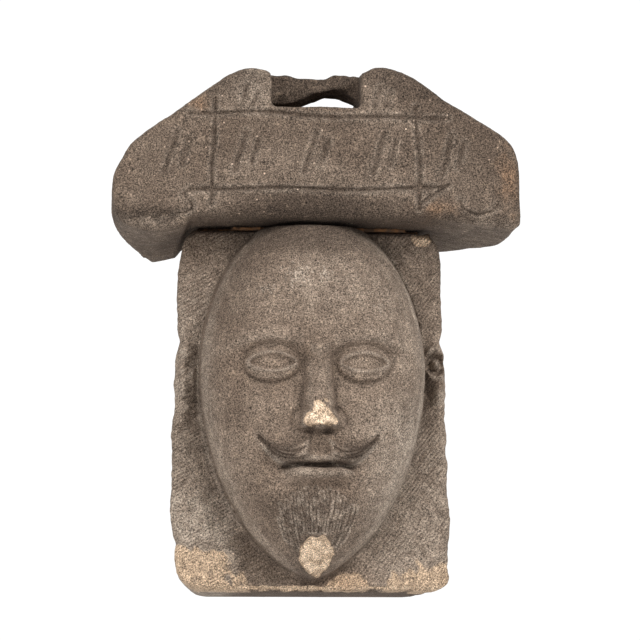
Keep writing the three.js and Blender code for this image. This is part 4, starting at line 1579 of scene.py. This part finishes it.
use_tool(worn_cap, wear_stone, {
    "Hollow Depth": 0.8 * MM, "Hollow Size": 34 * MM, "Pit Depth": 0.35 * MM, "Pit Size": 5 * MM,
    "Break Depth": 1.0 * MM, "Seed": 4.0, "Stone": cap_stone_finish,
})
apply_tools(worn_cap)
shade(worn_cap)
for guide in (moustache_lines, beard_lines, frame_guide, stroke_guide, dent_guide):
    bpy.data.objects.remove(guide)
print("worn cap", len(worn_cap.data.polygons), "faces")


# %% [markdown]
# ## The mortar bed
# Ochre mortar was squeezed to the front of the joint and broke off unevenly. It is a thin slab
# whose front edge wanders, set back under the cap, so it shows only as thin strips of colour.

# %% Mortar
BED_STEP = 2.4
BED_CLEARANCE = 0.15
BED_SET_BACK = 12
BED_SQUEEZED_OUT = 3.4
BED_ARRIS = 0.8
SHOWN_STRIPS = (
    {"name": "left strip", "x": -43, "half": 26},
    {"name": "right strip", "x": 55, "half": 32},
)
LUMP_SIZE = 0.007
SAND_SIZE = 0.0012
DAMP_MORTAR = (0.05, 0.030, 0.019, 1)
DRY_MORTAR = (0.22, 0.098, 0.036, 1)
SAND = (0.40, 0.22, 0.10, 1)


def mortar_mesh():
    columns = int((bed_high.x - bed_low.x) / BED_STEP)
    x = np.linspace(bed_low.x, bed_high.x, columns + 1)
    shown = np.zeros_like(x)
    for strip in SHOWN_STRIPS:
        shown = np.maximum(shown, smooth((strip["half"] - np.abs(x - strip["x"])) / 6))
    ragged = 1.6 * ripple(x, 0.7 * x, 14, 91) + 1.0 * ripple(x, 0.3 * x, 5, 92)
    front = bed_low.y + mix(BED_SET_BACK, -BED_SQUEEZED_OUT, shown) + ragged
    top = bed_high.z - BED_CLEARANCE
    foot = bed_low.z + BED_CLEARANCE
    rows = [
        (front + 0.7, foot), (front, foot + BED_ARRIS), (front, top - BED_ARRIS), (front + 0.7, top),
        (np.full_like(x, bed_high.y), top), (np.full_like(x, bed_high.y), foot),
    ]
    places = np.concatenate([np.stack([x, y, np.full_like(x, z)], 1) for y, z in rows])
    n = len(x)
    faces = []
    for r in range(len(rows)):
        below = ((r + 1) % len(rows)) * n
        for k in range(columns):
            faces.append((r * n + k, r * n + k + 1, below + k + 1, below + k))
    for end in (0, columns):
        faces.append(tuple(r * n + end for r in range(len(rows))))
    return new_mesh_object("ochre_mortar", places, faces)


def mortar_material():
    material, tree, coords = new_material("ochre_lime_mortar")
    lumps = map_smooth(tree, shader_noise(tree, coords, LUMP_SIZE, 4.0), 0.42, 0.66)
    sand = shader_noise(tree, coords, SAND_SIZE, 3.0)
    colour = blend_colours(tree, lumps, DAMP_MORTAR, DRY_MORTAR)
    colour = blend_colours(tree, times(tree, sand, 0.25), colour, SAND)
    rough_surface(tree, colour, sand, 0.8, 0.0008)
    return material


ochre_mortar = mortar_mesh()
print("mortar open edges", tidy_mesh(ochre_mortar, 0.01))
ochre_mortar.data.materials.append(mortar_material())

# %% [markdown]
# ## Which piece stands for which solid
# Each visible piece rides on the one body of this part, and the solid that it stands for is hidden.

# %% Pieces and the frame
for piece, node, slot in (
    (carved_block, "head_block", "block_stone"),
    (worn_cap, "cap_stone", "cap_stone"),
    (ochre_mortar, "mortar_bed", "bedding_mortar"),
):
    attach(piece, "root")
    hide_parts(node)

# %% [markdown]
# ## Stage and light
# The picture has a bare white ground and soft light from all round, a little stronger from the
# right and above. A pale floor lies well below, out of the main view, and throws some light up
# under the cap. A wide white sheet far behind is the ground.

# %% Stage
FLOOR_HEIGHT = -0.85
FLOOR_SIZE = 12
GROUND_DISTANCE = 4.5
GROUND_HEIGHT = 1.5
GROUND_SIZE = 9
GROUND_GLOW = 1.05


def plain_sheet(name, size, place, turn, material):
    bpy.ops.mesh.primitive_plane_add(size=size, location=place, rotation=turn)
    sheet = bpy.context.object
    sheet.name = name
    sheet.data.materials.append(material)
    return sheet


floor_material = bpy.data.materials.new("pale_floor")
floor_material.use_nodes = True
floor_inputs = floor_material.node_tree.nodes["Principled BSDF"].inputs
floor_inputs["Base Color"].default_value = (0.8, 0.8, 0.8, 1)
floor_inputs["Roughness"].default_value = 0.9
ground_material = bpy.data.materials.new("white_ground")
ground_material.use_nodes = True
ground_tree = ground_material.node_tree
ground_tree.nodes.clear()
glow = add_node(ground_tree, "ShaderNodeEmission", inputs={"Strength": GROUND_GLOW})
add_node(ground_tree, "ShaderNodeOutputMaterial", inputs={"Surface": glow.outputs["Emission"]})
upright = (math.radians(90), 0, 0)
plain_sheet("floor", FLOOR_SIZE, (0, 0, FLOOR_HEIGHT), (0, 0, 0), floor_material)
plain_sheet("ground", GROUND_SIZE, (0, GROUND_DISTANCE, GROUND_HEIGHT), upright, ground_material)

# %% Light
ROOM_LIGHT = 0.62
LAMPS_AIM = Vector((0, -0.1, 0.05))

world = bpy.data.worlds.new("soft_room")
world.use_nodes = True
room_inputs = world.node_tree.nodes["Background"].inputs
room_inputs["Color"].default_value = (1.0, 1.0, 1.0, 1)
room_inputs["Strength"].default_value = ROOM_LIGHT
bpy.context.scene.world = world
bpy.context.scene.view_settings.view_transform = "Standard"


def soft_light(name, place, size, power):
    data = bpy.data.lights.new(name, "AREA")
    data.size = size
    data.energy = power
    lamp = bpy.data.objects.new(name, data)
    lamp.location = place
    lamp.rotation_mode = "QUATERNION"
    lamp.rotation_quaternion = (LAMPS_AIM - Vector(place)).to_track_quat("-Z", "Y")
    bpy.context.scene.collection.objects.link(lamp)


soft_light("key", (1.3, -2.2, 1.5), 1.0, 47)
soft_light("fill", (-1.9, -2.1, 0.5), 1.6, 33)
